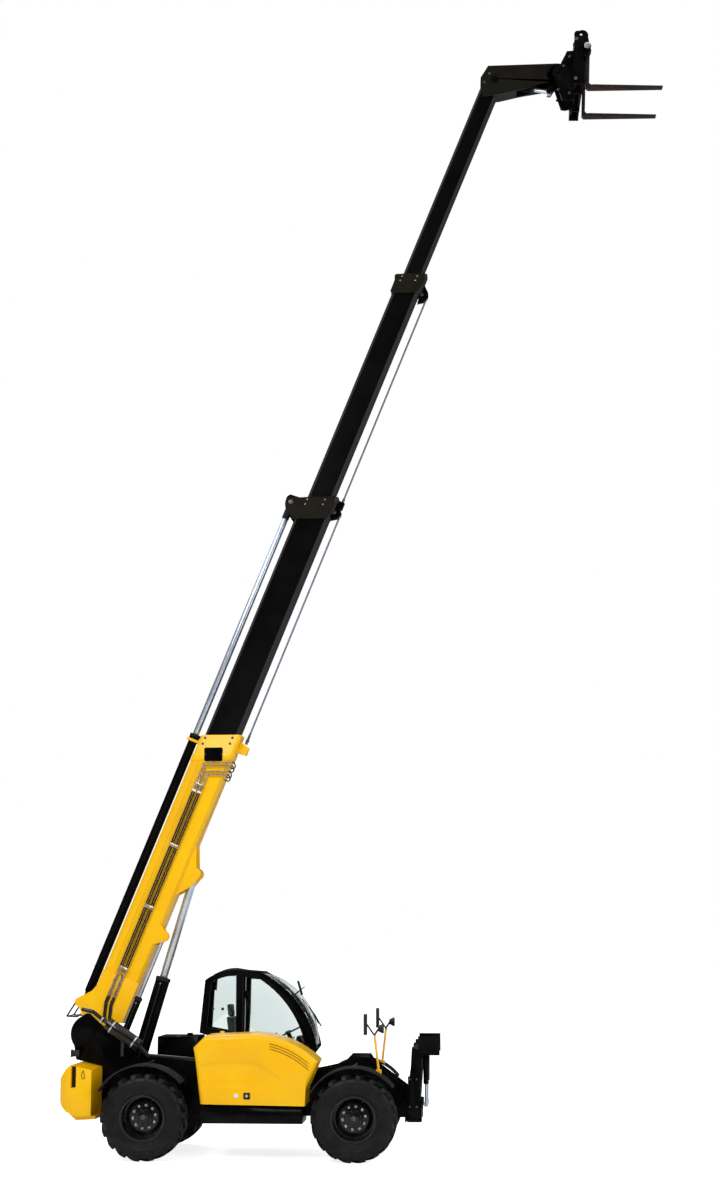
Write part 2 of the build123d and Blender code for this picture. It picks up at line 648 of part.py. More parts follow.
def front_window_outline():
    rear, front = cab_x(1240), CAB_FRONT
    return [(rear, 1740), (front - 75, 1560), ((front - 310, 2120), (front - 790, 2585)), (rear, 2615)]


def rear_window_outline():
    front = cab_x(1150)
    return [(cab_x(680), 1830), (front, 1755), (front, 2630), ((cab_x(900), 2600), (cab_x(750), 2520))]


def domed(outline_at, y0, y1, steps=4):
    """A ruled solid across the cab. outline_at(bulge) is its XZ outline; bulge is 1 halfway across."""
    rings = []
    for k in range(steps + 1):
        across = 2 * k / steps - 1
        rings.append(face_xz(outline_at(1 - across ** 2), y0 + (y1 - y0) * k / steps).outer_wire())
    return Solid.make_loft(rings, ruled=True)


def roof_at(bulge):
    rise = ROOF_BULGE * bulge
    rear, crown = cab_x(660), cab_x(1125)
    return [(rear, 2560), ((cab_x(860), 2668 + rise), (crown, 2710 + rise)), (CAB_FRONT - 760, 2670),
            (CAB_FRONT - 766, 2640), (crown, 2675 + rise), ((cab_x(880), 2636 + rise), (rear + 40, 2540))]


def cab_frame():
    inner_out, outer_in = CAB_IN + CAB_POST, CAB_OUT - CAB_POST
    right = plate(cab_side_outline(), CAB_IN, inner_out)
    for window in (front_window_outline(), rear_window_outline()):
        right = right - plate(window, CAB_IN - 5, inner_out + 5)
    left_side = [(580, 1755)] + roof_line() + [cab_front_line(), (CAB_FRONT, 1400), (CAB_FRONT, 930),
                                               (850, 930), (850, 1700)]
    left = plate(left_side, outer_in, CAB_OUT)
    left = left - plate(door_outline(-DOOR_GAP), outer_in - 5, CAB_OUT + 5)
    left = left - plate(rear_window_outline(), outer_in - 5, CAB_OUT + 5)
    rear_sill = plate([(580, 1755), (588, 1835), (640, 1827), (900, 1700), (880, 1660)], inner_out, outer_in)
    front = CAB_FRONT
    nose = plate([(front + 93, 1528), (front + 10, 1475), (front - 38, 1480), (front + 52, 1556),
                  (front + 82, 1556)], inner_out, outer_in)
    # drip rail along the top of each side, and a visor bar over the windscreen
    rear, crown = cab_x(800), cab_x(1120)
    rail = [plate([(rear, 2655), (crown, 2716), (front - 770, 2684), (front - 770, 2668), (crown, 2698),
                   (rear + 6, 2640)], y, y + 16) for y in (CAB_IN - 10, CAB_OUT - 6)]
    x, y = DOOR_HINGE
    lugs = []
    for z in DOOR_KNUCKLES:
        lugs.append(round_bar((x, y, z - 60), (x, y, z + 60), DOOR_PIN_R))
        for z0 in (z - 60, z + 35):
            lugs.append(round_bar((x, y, z0), (x, y, z0 + 25), DOOR_PIN_R + 5))
            lugs.append(block(x - 50, x - 6, CAB_OUT - 5, y, z0, z0 + 25))
    return joined(right, left, domed(roof_at, inner_out, outer_in), rear_sill, nose, *rail, *lugs)


def cab_floor():
    inner_out, outer_in, front = CAB_IN + CAB_POST, CAB_OUT - CAB_POST, CAB_FRONT
    floor = block(850, front, CAB_IN, outer_in, 880, 930)
    rear = block(850, 880, inner_out, outer_in, 930, 1655)
    inner = block(850, front, CAB_IN, inner_out, 930, 1474)
    return joined(floor, rear, inner, block(front - 40, front, inner_out, outer_in, 930, 1474))


def windscreen_at(bulge):
    """Its foot stays on the nose and its top at the roof; between them it bows ahead."""
    front, bow = CAB_FRONT, GLASS_BULGE * bulge
    mid_x, mid_z = front - 194 + bow, 2194 + 0.55 * bow
    return [(front - 753, 2662), ((mid_x, mid_z), (front + 78, 1562)),
            (front + 78 - GLASS_T, 1560), ((mid_x - GLASS_T, mid_z - 4), (front - 758, 2652))]


def windscreen():
    return domed(windscreen_at, CAB_IN + CAB_POST, CAB_OUT - CAB_POST, 6)


def cab_windows():
    right = [plate(outline, CAB_IN + 15, CAB_IN + 15 + GLASS_T)
             for outline in (front_window_outline(), rear_window_outline())]
    left = plate(rear_window_outline(), CAB_OUT - 15 - GLASS_T, CAB_OUT - 15)
    rear = plate([(593, 1840), (668, 2540), (668 + GLASS_T, 2540), (593 + GLASS_T, 1840)],
                 CAB_IN + CAB_POST, CAB_OUT - CAB_POST)
    return Compound(right + [left, rear])


def door_window_outline():
    rear, front = cab_x(1270), CAB_FRONT
    return [(rear, 1480), (front - 100, 1480), ((front - 355, 2070), (front - 825, 2520)), (rear, 2535)]


def cab_door():
    skin = plate(door_outline(0), CAB_OUT - DOOR_T, CAB_OUT)
    skin = skin - plate(door_window_outline(), CAB_OUT - DOOR_T - 5, CAB_OUT + 5)
    grab_x, grab_y = CAB_FRONT - 330, CAB_OUT + 40
    grab = [round_bar((grab_x, CAB_OUT - 5, z), (grab_x, grab_y, z), 7) for z in (1080, 1420)]
    skin = joined(skin, *grab, round_bar((grab_x, grab_y, 1060), (grab_x, grab_y, 1440), 10))
    x, y = DOOR_HINGE
    for z in DOOR_KNUCKLES:
        ring = round_bar((x, y, z - 30), (x, y, z + 30), DOOR_PIN_R + 5)
        web = block(x + 8, x + 44, CAB_OUT - 5, y + 4, z - 30, z + 30)
        skin = joined(skin, ring, web) - round_bar((x, y, z - 70), (x, y, z + 70),
                                                   DOOR_PIN_R + RUNNING_FIT)
    return skin


def door_glass():
    return plate(door_window_outline(), CAB_OUT - 16 - GLASS_T, CAB_OUT - 16)


def seat():
    """A suspension box, a cushion with side rolls and a back with a head rest."""
    base = block(1080, 1500, 600, 920, 930, 1290)
    cushion = block(1040, 1540, 520, 1000, 1290, 1400)
    rolls = [block(1060, 1530, y, y + 70, 1395, 1430) for y in (520, 930)]
    back = plate([(1040, 1400), (1150, 1400), (1060, 2000), (960, 2000)], 530, 990)
    rest = plate([(972, 2000), (1052, 2000), (1030, 2180), (958, 2180)], 640, 880)
    return joined(base, cushion, *rolls, back, rest)


def console():
    """The dash, the steering column and its wheel, and an armrest block with a lever."""
    front = CAB_FRONT
    dash = plate([(front - 300, 930), (front - 41, 930), (front - 41, 1474), (front - 100, 1560),
                  (front - 220, 1560)], 420, 1060)
    hub_at = Vector(front - 400, 760, 1740)
    column = round_bar((front - 240, 760, 1400), tuple(hub_at), 32)
    wheel_way = Vector(-160, 0, 340).normalized()
    tube = [(STEER_TUBE_R * math.cos(math.radians(a)), STEER_R + STEER_TUBE_R * math.sin(math.radians(a)))
            for a in range(0, 360, 60)]
    upright = Location((0, 0, 0), (90, 0, 0))
    ring = turned(tube, 0, 0).moved(Plane(origin=hub_at, z_dir=wheel_way).location * upright)
    across = Vector(0, 1, 0)
    up = wheel_way.cross(across)
    spokes = [round_bar(hub_at + way * 20, hub_at + way * STEER_R, 9) for way in (across, -across, -up)]
    arm = block(1180, 1560, 1010, 1110, 1380, 1470)
    post = block(1240, 1400, 1010, 1110, 930, 1380)
    lever = round_bar((1500, 1060, 1465), (1530, 1060, 1640), 14)
    return joined(dash, column, ring, *spokes), joined(arm, post, lever)


# ---- Boom
def boom_section_1():
    tube = tube_section(S1_TAIL, S1_HEAD, S1_DEPTH, S1_WIDTH, S1_WALL)
    half = S1_WIDTH / 2
    # wear pads' ring at the head, and a closing plate at the tail
    ring = collar(S1_HEAD - 160, S1_HEAD, S1_DEPTH - 2 * S1_WALL, S1_WIDTH - 2 * S1_WALL,
                  S2_DEPTH + 2 * PAD_GAP, S2_WIDTH + 2 * PAD_GAP)
    parts = [ring]
    tail = [(640, -150), (530, -187), (350, -350), ((270, -365), (235, -290)), (100, -130),
            (-60, -80), ((-100, 0), (-60, 80)), (180, 250), (260, 430), (900, 430), (900, -150)]
    for side in (-1, 1):
        parts.append(boom_plate(tail, side * half, side * (half + 25)))
    parts.append(cross_bar(0, 0, -half - 50, half + 50, 92))
    # a bent guard bar behind the tail, from plate to plate
    bends = [(310, -345), (34, -397), (87, -243), (180, -200)]
    for side in (-1, 1):
        y = side * (half + 12.5)
        for k, ((ua, na), (ub, nb)) in enumerate(zip(bends, bends[1:])):
            parts.append(round_bar((ua, y, -na), (ub, y, -nb), TAIL_BAR_R - 0.4 * k))
    parts.append(cross_bar(bends[1][0], -bends[1][1], -half - 15, half + 15, TAIL_BAR_R - 3))
    # ears for the lift cylinder and the levelling cylinder
    root = AXIS_N + S1_DEPTH / 2 - 5
    u, n = LIFT_PIN_UN
    lift_ear = [(u - 420, root), (u - 190, n + 60), (u - 60, n + 98), ((u + 40, n + 105), (u + 80, n + 20)),
                (u + 410, root)]
    for y in (-165, 130):
        parts.append(boom_plate(lift_ear, y, y + 35))
    u, n = LEVEL_PIN_UN
    for y, foot in ((LEVEL_Y - 52, root - CORNER), (LEVEL_Y + 40, root)):
        level_ear = [(u - 205, foot), (u - 75, n + 50), ((u + 15, n + 70), (u + 60, n + 10)), (u + 145, foot)]
        parts.append(boom_plate(level_ear, y, y + 12))
    # cable anchor under the head, and the bracket that holds the extension cylinder
    head = S1_HEAD
    parts.append(boom_plate([(head - 160, root), (head - 145, root + 165), (head - 20, root + 165),
                             (head + 20, root)], -60, 60))
    bracket = [(head - 250, -145), (head - 250, -360), (head - 210, -360), (head - 210, -145)]
    parts.append(boom_plate(bracket, -90, 90))
    # a raised band round the tube behind the head
    parts.append(collar(head - 420, head - 300, S1_DEPTH + 16, S1_WIDTH + 16, S1_DEPTH - 1, S1_WIDTH - 1))
    whole = joined(tube, *parts)
    whole = whole - cross_bar(0, 0, -half - 60, half + 60, PIVOT_PIN_R + RUNNING_FIT)
    whole = whole - round_bar((head - 360, 0, -EXT_N), (head - 60, 0, -EXT_N), EXT_BARREL_R)
    return on_boom(whole)


def extension_barrel():
    barrel = joined(round_bar((470, 0, -EXT_N), (EXT_BARREL_END, 0, -EXT_N), EXT_BARREL_R),
                    round_bar((EXT_BARREL_END - 40, 0, -EXT_N), (EXT_BARREL_END, 0, -EXT_N), EXT_GLAND_R))
    lug = block(EXT_PIN_U, 475, -45, 45, -EXT_N - 45, -EXT_N + 45)
    eye = cross_bar(EXT_PIN_U, -EXT_N, -45, 45, 55)
    pin = cross_bar(EXT_PIN_U, -EXT_N, -S1_WIDTH / 2, S1_WIDTH / 2, 30)
    bore = round_bar((520, 0, -EXT_N), (EXT_BARREL_END + 5, 0, -EXT_N), EXT_ROD_R + RUNNING_FIT)
    return on_boom(joined(barrel, lug, eye, pin) - bore)


def extension_rod():
    return on_boom(round_bar((S1_HEAD - 560, 0, -EXT_N), (EXT_ROD_END - 30, 0, -EXT_N), EXT_ROD_R))


def pipe_run(n, u_end):
    """One pipe along the side, bent at its end to run down beside the head."""
    low = AXIS_N + S1_DEPTH / 2
    u_low = u_end + END_SLOPE * (low - n)
    return joined(round_bar((560, PIPE_Y, -n), (u_end + PIPE_R / 2, PIPE_Y, -n), PIPE_R),
                  round_bar((u_end - PIPE_R / 4, PIPE_Y, -n + PIPE_R / 2), (u_low, PIPE_Y, -low), PIPE_R))


def boom_pipes():
    runs = [(70, S1_HEAD - 490), (100, S1_HEAD - 535), (155, S1_HEAD - 610), (185, S1_HEAD - 650)]
    parts = [pipe_run(n, u_end) for n, u_end in runs]
    clips = [block(u, u + 40, PIPE_Y - 12, -S1_WIDTH / 2, -200, -55) for u in (1000, 2000, 3000, 4000)]
    return on_boom(joined(*clips, *parts))


def boom_section_2():
    tube = tube_section(S2_TAIL, S2_HEAD, S2_DEPTH, S2_WIDTH, S2_WALL)
    tail = collar(S2_TAIL + 60, S2_TAIL + 220, S1_DEPTH - 2 * (S1_WALL + PAD_GAP),
                  S1_WIDTH - 2 * (S1_WALL + PAD_GAP), S2_DEPTH - 1, S2_WIDTH - 1)
    end = S2_HEAD
    head = collar(end - 270, end, S2_DEPTH + 50, S2_WIDTH + 30,
                  S3_DEPTH + 2 * PAD_GAP, S3_WIDTH + 2 * PAD_GAP)
    top, under = AXIS_N - S2_DEPTH / 2 - 20, AXIS_N + S2_DEPTH / 2 + 20
    rod_ear = boom_plate([(end - 290, top), (end - 260, EXT_N - 60), ((end - 180, EXT_N - 100),
                         (end - 100, EXT_N - 60)), (end - 90, top)], -55, 55)
    rod_seat = round_bar((end - 390, 0, -EXT_N), (EXT_ROD_END - 30, 0, -EXT_N), EXT_ROD_R)
    cheek = [(end - 250, under), (end - 190, under + 95), ((end - 100, under + 125), (end - 40, under + 65)),
             (end + 60, under)]
    cheeks = [boom_plate(cheek, y, y + 14) for y in (-50, 36)]
    pulley = cross_bar(PULLEY_2[0], -PULLEY_2[1], -36, 36, PULLEY_2_R)
    anchor = boom_plate([(end - 30, under), (end - 20, under + 95), (end + 100, under + 95),
                         (end + 105, under)], 55, 130)
    return on_boom(joined(tube, tail, head, rod_ear - rod_seat, *cheeks, pulley, anchor))


def boom_section_3():
    tube = tube_section(S3_TAIL, S3_HEAD, S3_DEPTH, S3_WIDTH, S3_WALL)
    tail = collar(S3_TAIL + 60, S3_TAIL + 200, S2_DEPTH - 2 * (S2_WALL + PAD_GAP),
                  S2_WIDTH - 2 * (S2_WALL + PAD_GAP), S3_DEPTH - 1, S3_WIDTH - 1)
    end = S3_HEAD
    head = collar(end - 300, end, S3_DEPTH + 44, S3_WIDTH + 26,
                  S4_DEPTH + 2 * PAD_GAP, S4_WIDTH + 2 * PAD_GAP)
    under = AXIS_N + S3_DEPTH / 2 + 15
    cheek = [(end - 350, under), (end - 290, under + 90), ((end - 190, under + 125), (end - 100, under + 70)),
             (end - 30, under)]
    cheeks = [boom_plate(cheek, y, y + 12) for y in (62, 128)]
    pulley = cross_bar(PULLEY_3[0], -PULLEY_3[1], 74, 128, PULLEY_3_R)
    return on_boom(joined(tube, tail, head, *cheeks, pulley))


def head_point(dx, dz):
    return HEAD_X + dx, HEAD_Z + dz


def head_outline():
    p = head_point
    return [p(-1103, 165), p(-19, 165), (p(145, 65), p(150, -40)), (p(80, -140), p(-60, -138)),
            p(-930, -320), p(-1190, -340), p(-1230, -160), p(-1225, -33)]


def boom_section_4():
    """The last section and the boom head: two side plates with a top and a bottom plate between them."""
    p = head_point
    tube = tube_section(S4_TAIL, S4_HEAD, S4_DEPTH, S4_WIDTH, S4_WALL)
    tail = collar(S4_TAIL + 60, S4_TAIL + 190, S3_DEPTH - 2 * (S3_WALL + PAD_GAP),
                  S3_WIDTH - 2 * (S3_WALL + PAD_GAP), S4_DEPTH - 1, S4_WIDTH - 1)
    inside = HEAD_HALF_W - HEAD_PLATE_T
    sides = [plate(head_outline(), side * inside, side * HEAD_HALF_W) for side in (-1, 1)]
    top = plate([p(-1103, 165), p(-130, 165), p(-130, 140), p(-1118, 140)], -inside, inside)
    bottom = plate([p(-1190, -340), p(-930, -320), p(-650, -261), p(-650, -241), p(-930, -300),
                    p(-1188, -320)], -inside, inside)
    # round bosses on the side plates at the two pins
    bosses = [cross_bar(x, z, side * HEAD_HALF_W, side * (HEAD_HALF_W + 7), r)
              for side in (-1, 1) for (x, z), r in ((TILT_BASE, 62), (HEAD_PIVOT, 76))]
    pin = cross_bar(TILT_BASE[0], TILT_BASE[1], -HEAD_HALF_W, HEAD_HALF_W, 32)
    room = cross_bar(HEAD_X, HEAD_Z, -HEAD_HALF_W - 20, HEAD_HALF_W + 20, HITCH_PIN_R + RUNNING_FIT)
    whole = joined(on_boom(tube), on_boom(tail), *sides, top, bottom, *bosses)
    # the tube's end stops short of the tilt cylinder between the plates
    mouth = cross_bar(TILT_BASE[0], TILT_BASE[1], -inside + 1, inside - 1, 75)
    return joined(whole - mouth, pin) - room


def cable(u0, u1, n, y):
    return on_boom(round_bar((u0, y, -n), (u1, y, -n), CABLE_R))


# ---- Cylinders: a barrel on its base pin and a rod that ends in an eye with its own pin
def strut(base, eye, y, barrel_r, rod_r, barrel_len, stroke, pin_r, eye_w):
    bx, bz = base
    ex, ez = eye
    length = math.hypot(ex - bx, ez - bz)
    dx, dz = (ex - bx) / length, (ez - bz) / length

    def along(distance):
        return bx + dx * distance, y, bz + dz * distance

    boss_r = pin_r * 1.75
    barrel = joined(round_bar(along(boss_r * 0.8), along(barrel_len), barrel_r),
                    cross_bar(bx, bz, y - eye_w / 2, y + eye_w / 2, boss_r))
    barrel = barrel - cross_bar(bx, bz, y - eye_w, y + eye_w, pin_r + RUNNING_FIT)
    tail = stroke + boss_r + 60
    bore_from = boss_r + 30
    barrel = barrel - round_bar(along(bore_from), along(barrel_len + 5), rod_r + RUNNING_FIT)
    rod = joined(round_bar(along(tail), along(length), rod_r),
                 cross_bar(ex, ez, y - eye_w / 2, y + eye_w / 2, boss_r))
    return barrel, rod


def lift_cylinder():
    return strut(LIFT_BASE, boom_point(*LIFT_PIN_UN), 0, 108, 60, 1620, 1146, 50, 230)


def level_cylinder():
    return strut(LEVEL_BASE, boom_point(*LEVEL_PIN_UN), LEVEL_Y, 52, 32, 1110, 737, 28, 70)


def tilt_cylinder():
    return strut(TILT_BASE, TILT_EYE, 0, TILT_BARREL_R, 34, 640, 0, 32, 70)


# ---- Fork carriage
def hitch_link():
    """The head's pin, its sleeve, and the two levers the tilt rod pushes."""
    x, z = HEAD_PIVOT
    reach = HITCH_IN + HITCH_T + 3
    pin = cross_bar(x, z, -reach, reach, HITCH_PIN_R)
    ex, ez = TILT_EYE
    levers = [plate([(x - 62, z + 20), ((x, z + 65), (x + 62, z + 20)), (x + 60, z - 40), (ex + 45, ez - 20),
                     ((ex, ez - 50), (ex - 45, ez + 10))], y, y + 25) for y in (-75, 50)]
    sleeve = cross_bar(x, z, -75, 75, 58)
    return joined(pin, sleeve, *levers)


def hitch_side_outline():
    p = head_point
    return [p(-75, 30), (p(-20, 78), p(30, 100)), p(145, 350), p(280, 360),
            p(280, -450), p(150, -480), p(80, -470), p(-60, -50)]


def fork_carriage():
    """Two hitch plates, a stout upright pair at each end, and the bars the forks hang from."""
    p = head_point
    outer = [p(235, -430), p(235, 380), (p(250, 440), p(310, 450)), (p(430, 430), p(450, 350)),
             p(485, 180), p(390, 50), p(390, -430)]
    half = CARRIAGE_HALF_W
    parts = []
    for side in (-1, 1):
        parts.append(plate(hitch_side_outline(), side * HITCH_IN, side * (HITCH_IN + HITCH_T)))
        for y in (260, half - 40):
            parts.append(plate(outer, side * y, side * (y + 30)))
        # a rib down each outer upright, and a collar at the end of the fork bar
        parts.append(plate([p(250, -400), p(285, -400), p(285, 330), p(250, 330)],
                           side * (half - 10), side * (half + 8)))
        parts.append(cross_bar(*FORK_BAR, side * (half + 2), side * (half + 26), FORK_BAR_R + 14))
    parts.append(cross_bar(*FORK_BAR, -half - 36, half + 36, FORK_BAR_R))
    for centre in (p(270, 310), p(270, -350)):
        parts.append(cross_bar(*centre, 15 - half, half - 15, CARRIAGE_BAR_R))
    low, high = p(350, -390), p(390, -270)
    parts.append(block(low[0], high[0], 15 - half, half - 15, low[1], high[1]))
    # a backing plate between the hitch plates
    back_low, back_high = p(200, -380), p(222, 250)
    parts.append(block(back_low[0], back_high[0], -HITCH_IN, HITCH_IN, back_low[1], back_high[1]))
    whole = joined(*parts)
    whole = whole - cross_bar(HEAD_X, HEAD_Z, -220, 220, HITCH_PIN_R + RUNNING_FIT)
    whole = whole - cross_bar(LIFT_HOLE[0], LIFT_HOLE[1], -half - 50, half + 50, LIFT_HOLE_R)
    return droop(whole)


def droop(shape):
    """Carriage and forks hang FORK_DROOP degrees tips-down about the head pivot."""
    return shape.rotate(Axis((HEAD_PIVOT[0], 0, HEAD_PIVOT[1]), (0, 1, 0)), FORK_DROOP)


def forks():
    x, z = FORK_HEEL_X, FORK_BOTTOM_Z
    side_view = [(x - 50, z + 60), ((x - 37, z + 15), (x, z)), (x + FORK_LENGTH, z + 20),
                 (x + FORK_LENGTH, z + 32), (x + 60, z + FORK_T + 4), ((x + 12, z + 64), (x, z + 110)),
                 (x, z + 520), (x - 2, z + 600), (x - 50, z + 600)]
    out = []
    for side in (-1, 1):
        blade = plate(side_view, side * FORK_Y - FORK_W / 2, side * FORK_Y + FORK_W / 2)
        eye = cross_bar(FORK_BAR[0], FORK_BAR[1], side * FORK_Y - 40, side * FORK_Y + 40, FORK_BAR_R + 26)
        bore = cross_bar(FORK_BAR[0], FORK_BAR[1], side * FORK_Y - 70, side * FORK_Y + 70, FORK_BAR_R + 0.3)
        out.append(droop(joined(blade, eye) - bore))
    return Compound(out)


# ---- Stabilisers
def stabiliser(side):
    """A leg that folds up beside the front: knuckle, tapering beam, foot plate and the ram's pin."""
    y0, y1 = STAB_PIVOT_Y - STAB_LOBE_R, STAB_PIVOT_Y + STAB_LOBE_R
    rear, front = STAB_REAR, STAB_FRONT
    leg = plate([(rear, STAB_PIVOT_Z), (front, STAB_PIVOT_Z), (front, 800), (front + 35, 1290),
                 (front + 35, 1600), (rear + 80, 1600), (rear + 60, 1290), (rear, 900)], side * y0, side * y1)
    lobe = round_bar((rear, side * STAB_PIVOT_Y, STAB_PIVOT_Z),
                     (front, side * STAB_PIVOT_Y, STAB_PIVOT_Z), STAB_LOBE_R)
    # foot plate: flat on the ground once the leg has swung down by STAB_SWING
    turn = math.radians(STAB_SWING - 90)
    ny, nz = math.cos(turn), math.sin(turn)
    slide = 850
    cy = STAB_PIVOT_Y + STAB_SOLE * ny - slide * nz
    cz = STAB_PIVOT_Z + STAB_SOLE * nz + slide * ny

    def pad_point(t, d):
        return side * (cy - nz * t - ny * d), cz + ny * t - nz * d

    def pad_block(x0, x1, t0, t1, d0, d1):
        ring = [pad_point(t0, d0), pad_point(t1, d0), pad_point(t1, d1), pad_point(t0, d1)]
        base = Face(Wire.make_polygon([at(x0, y, z) for y, z in ring], close=True))
        return Solid.extrude(base, Vector(x1 - x0, 0, 0))
    foot = pad_block(rear + 170, rear + 490, -150, 150, 0, 25)
    neck = pad_block(rear + 110, rear + 310, -60, 60, 24, 90)
    ribs = [pad_block(x, x + 16, -110, 110, 24, 60) for x in (rear + 210, rear + 380, rear + 450)]
    pin = round_bar((rear + 210, side * STAB_RAM_TOP[0], STAB_RAM_TOP[1]),
                    (STAB_RAM_X + 50, side * STAB_RAM_TOP[0], STAB_RAM_TOP[1]), 20)
    # a raised cap plate on the leg's outer face
    cap = block(rear + 20, front - 20, side * y1, side * (y1 + 10), 700, 1180)
    bore = round_bar((rear - 90, side * STAB_PIVOT_Y, STAB_PIVOT_Z),
                     (front + 115, side * STAB_PIVOT_Y, STAB_PIVOT_Z), STAB_PIN_R + RUNNING_FIT)
    return joined(leg, lobe, foot, neck, *ribs, pin, cap) - bore


def stabiliser_ram(side):
    """The ram hangs from the leg's top pin; its rod's eye is at the crossbeam."""
    by, bz = side * STAB_RAM_TOP[0], STAB_RAM_TOP[1]
    ey, ez = side * STAB_RAM_EYE[0], STAB_RAM_EYE[1]
    length = math.hypot(ey - by, ez - bz)
    dy, dz = (ey - by) / length, (ez - bz) / length

    def along(distance):
        return STAB_RAM_X, by + dy * distance, bz + dz * distance

    boss = round_bar((STAB_RAM_X - 38, by, bz), (STAB_RAM_X + 38, by, bz), 38)
    barrel = joined(round_bar(along(30), along(400), 40), boss)
    barrel = barrel - round_bar((STAB_RAM_X - 60, by, bz), (STAB_RAM_X + 60, by, bz), 20 + RUNNING_FIT)
    barrel = barrel - round_bar(along(70), along(405), 22 + RUNNING_FIT)
    eye = round_bar((STAB_RAM_X - 30, ey, ez), (STAB_RAM_X + 30, ey, ez), 40)
    return barrel, joined(round_bar(along(90), along(length), 22), eye)


def write_parts():
    corners = {"front": WHEELBASE, "rear": 0}
    nodes = {}
    nodes["main_frame"] = main_frame()
    nodes["counterweight"] = counterweight()
    nodes["belly_box"] = belly_box()
    nodes["step_box"] = step_box()
    nodes["engine_block"] = engine_block()
    nodes["engine_bulkhead"] = engine_bulkhead()
    nodes["hydraulic_tank"] = hydraulic_tank()
    nodes["exhaust"] = exhaust()
    nodes["axles"] = Compound([axle(0, 1), axle(WHEELBASE, -1)])
    nodes["driveline"] = driveline()
    guards = []
    for side in (-1, 1):
        guards.append(mudguard(WHEELBASE, side, 38, 150, FRONT_GUARD_R))
        guards.append(mudguard(0, side, 42, 150, REAR_GUARD_R))
    nodes["mudguards"] = Compound(guards)
    post_tops = {-1: (WHEELBASE + 290, 1800), 1: (WHEELBASE + 380, 1820)}
    post_feet = {-1: (WHEELBASE + 350, 1284), 1: (WHEELBASE + 320, 1297)}
    nodes["mirror_posts"] = Compound([mirror_post(side, post_feet[side], post_tops[side])
                                      for side in (-1, 1)])
    nodes["mirrors"] = Compound([mirror(side, post_tops[side]) for side in (-1, 1)])
    nodes["lamps"] = Compound([front_lamp(side, post_tops[side]) for side in (-1, 1)]
                              + [rear_lamp(side) for side in (-1, 1)])
    nodes["hood"] = hood()
    nodes["cab_frame"] = cab_frame()
    nodes["cab_floor"] = cab_floor()
    nodes["windscreen"] = windscreen()
    nodes["cab_windows"] = cab_windows()
    nodes["cab_door"] = cab_door()
    nodes["door_glass"] = door_glass()
    nodes["seat"] = seat()
    nodes["console"], nodes["armrest"] = console()
    tyres = {"right": tyre(-1), "left": tyre(1)}
    for end, x in corners.items():
        for name, side in (("right", -1), ("left", 1)):
            nodes[f"knuckle_{end}_{name}"] = knuckle(x, side)
            nodes[f"wheel_{end}_{name}"] = wheel(x, side)
            nodes[f"tyre_{end}_{name}"] = tyres[name].moved(Location((x, side * TRACK / 2, AXLE_Z)))
    nodes["boom_section_1"] = boom_section_1()
    nodes["boom_pipes"] = boom_pipes()
    nodes["extension_barrel"] = extension_barrel()
    nodes["boom_section_2"] = boom_section_2()
    nodes["extension_rod"] = extension_rod()
    nodes["cable_2"] = cable(S1_HEAD + 20, PULLEY_2[0], PULLEY_2[1] + PULLEY_2_R + CABLE_R, 0)
    nodes["boom_section_3"] = boom_section_3()
    nodes["cable_3"] = cable(S2_HEAD + 105, PULLEY_3[0], PULLEY_3[1] + PULLEY_3_R + CABLE_R, 100)
    nodes["boom_section_4"] = boom_section_4()
    nodes["hitch_link"] = hitch_link()
    nodes["fork_carriage"] = fork_carriage()
    nodes["forks"] = forks()
    for name, pair in (("lift", lift_cylinder()), ("level", level_cylinder()), ("tilt", tilt_cylinder())):
        nodes[f"{name}_barrel"], nodes[f"{name}_rod"] = pair
    for name, side in (("right", -1), ("left", 1)):
        nodes[f"stabiliser_{name}"] = stabiliser(side)
        barrel, rod = stabiliser_ram(side)
        nodes[f"stabiliser_{name}_barrel"] = barrel
        nodes[f"stabiliser_{name}_rod"] = rod

    boxes = [shape.bounding_box() for shape in nodes.values()]
    middle = (min(b.min.X for b in boxes) + max(b.max.X for b in boxes)) / 2
    print(f"origin X in the machine frame: {middle:.4f} mm")
    print(f"boom swings {BOOM_LOW_ANGLE - BOOM_ANGLE} degrees down; sections slide in by "
          f"{TRAVEL_2}, {TRAVEL_3} and {TRAVEL_4} mm")
    for node, shape in nodes.items():
        export_step(shape.moved(Location((-middle, 0, 0))), f"parts/{node}.step")


write_parts()
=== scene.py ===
"""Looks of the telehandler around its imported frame: studio, materials and added detail. Metres."""
import json
import math

import bmesh
import bpy
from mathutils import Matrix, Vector


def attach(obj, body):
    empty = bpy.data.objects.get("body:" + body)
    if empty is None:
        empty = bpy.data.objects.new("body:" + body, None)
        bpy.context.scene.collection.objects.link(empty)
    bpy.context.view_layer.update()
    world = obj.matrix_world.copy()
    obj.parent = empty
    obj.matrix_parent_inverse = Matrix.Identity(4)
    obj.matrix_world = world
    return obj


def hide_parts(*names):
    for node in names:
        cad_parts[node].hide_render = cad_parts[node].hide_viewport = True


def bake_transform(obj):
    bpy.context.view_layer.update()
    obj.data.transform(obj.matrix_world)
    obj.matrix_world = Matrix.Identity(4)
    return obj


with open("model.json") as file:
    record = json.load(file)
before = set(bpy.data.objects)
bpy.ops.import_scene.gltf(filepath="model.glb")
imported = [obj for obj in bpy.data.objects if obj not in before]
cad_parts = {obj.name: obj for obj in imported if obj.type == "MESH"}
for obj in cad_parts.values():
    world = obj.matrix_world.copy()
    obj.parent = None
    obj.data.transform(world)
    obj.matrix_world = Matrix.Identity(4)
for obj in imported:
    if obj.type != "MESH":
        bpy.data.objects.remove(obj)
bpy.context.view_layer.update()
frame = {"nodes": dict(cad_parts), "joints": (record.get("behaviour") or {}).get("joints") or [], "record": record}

JOINT = {j["name"]: j for j in frame["joints"]}
REAR_AXLE = Vector(JOINT["roll_rear_left"]["pos_m"])
FRONT_AXLE = Vector(JOINT["roll_front_left"]["pos_m"])
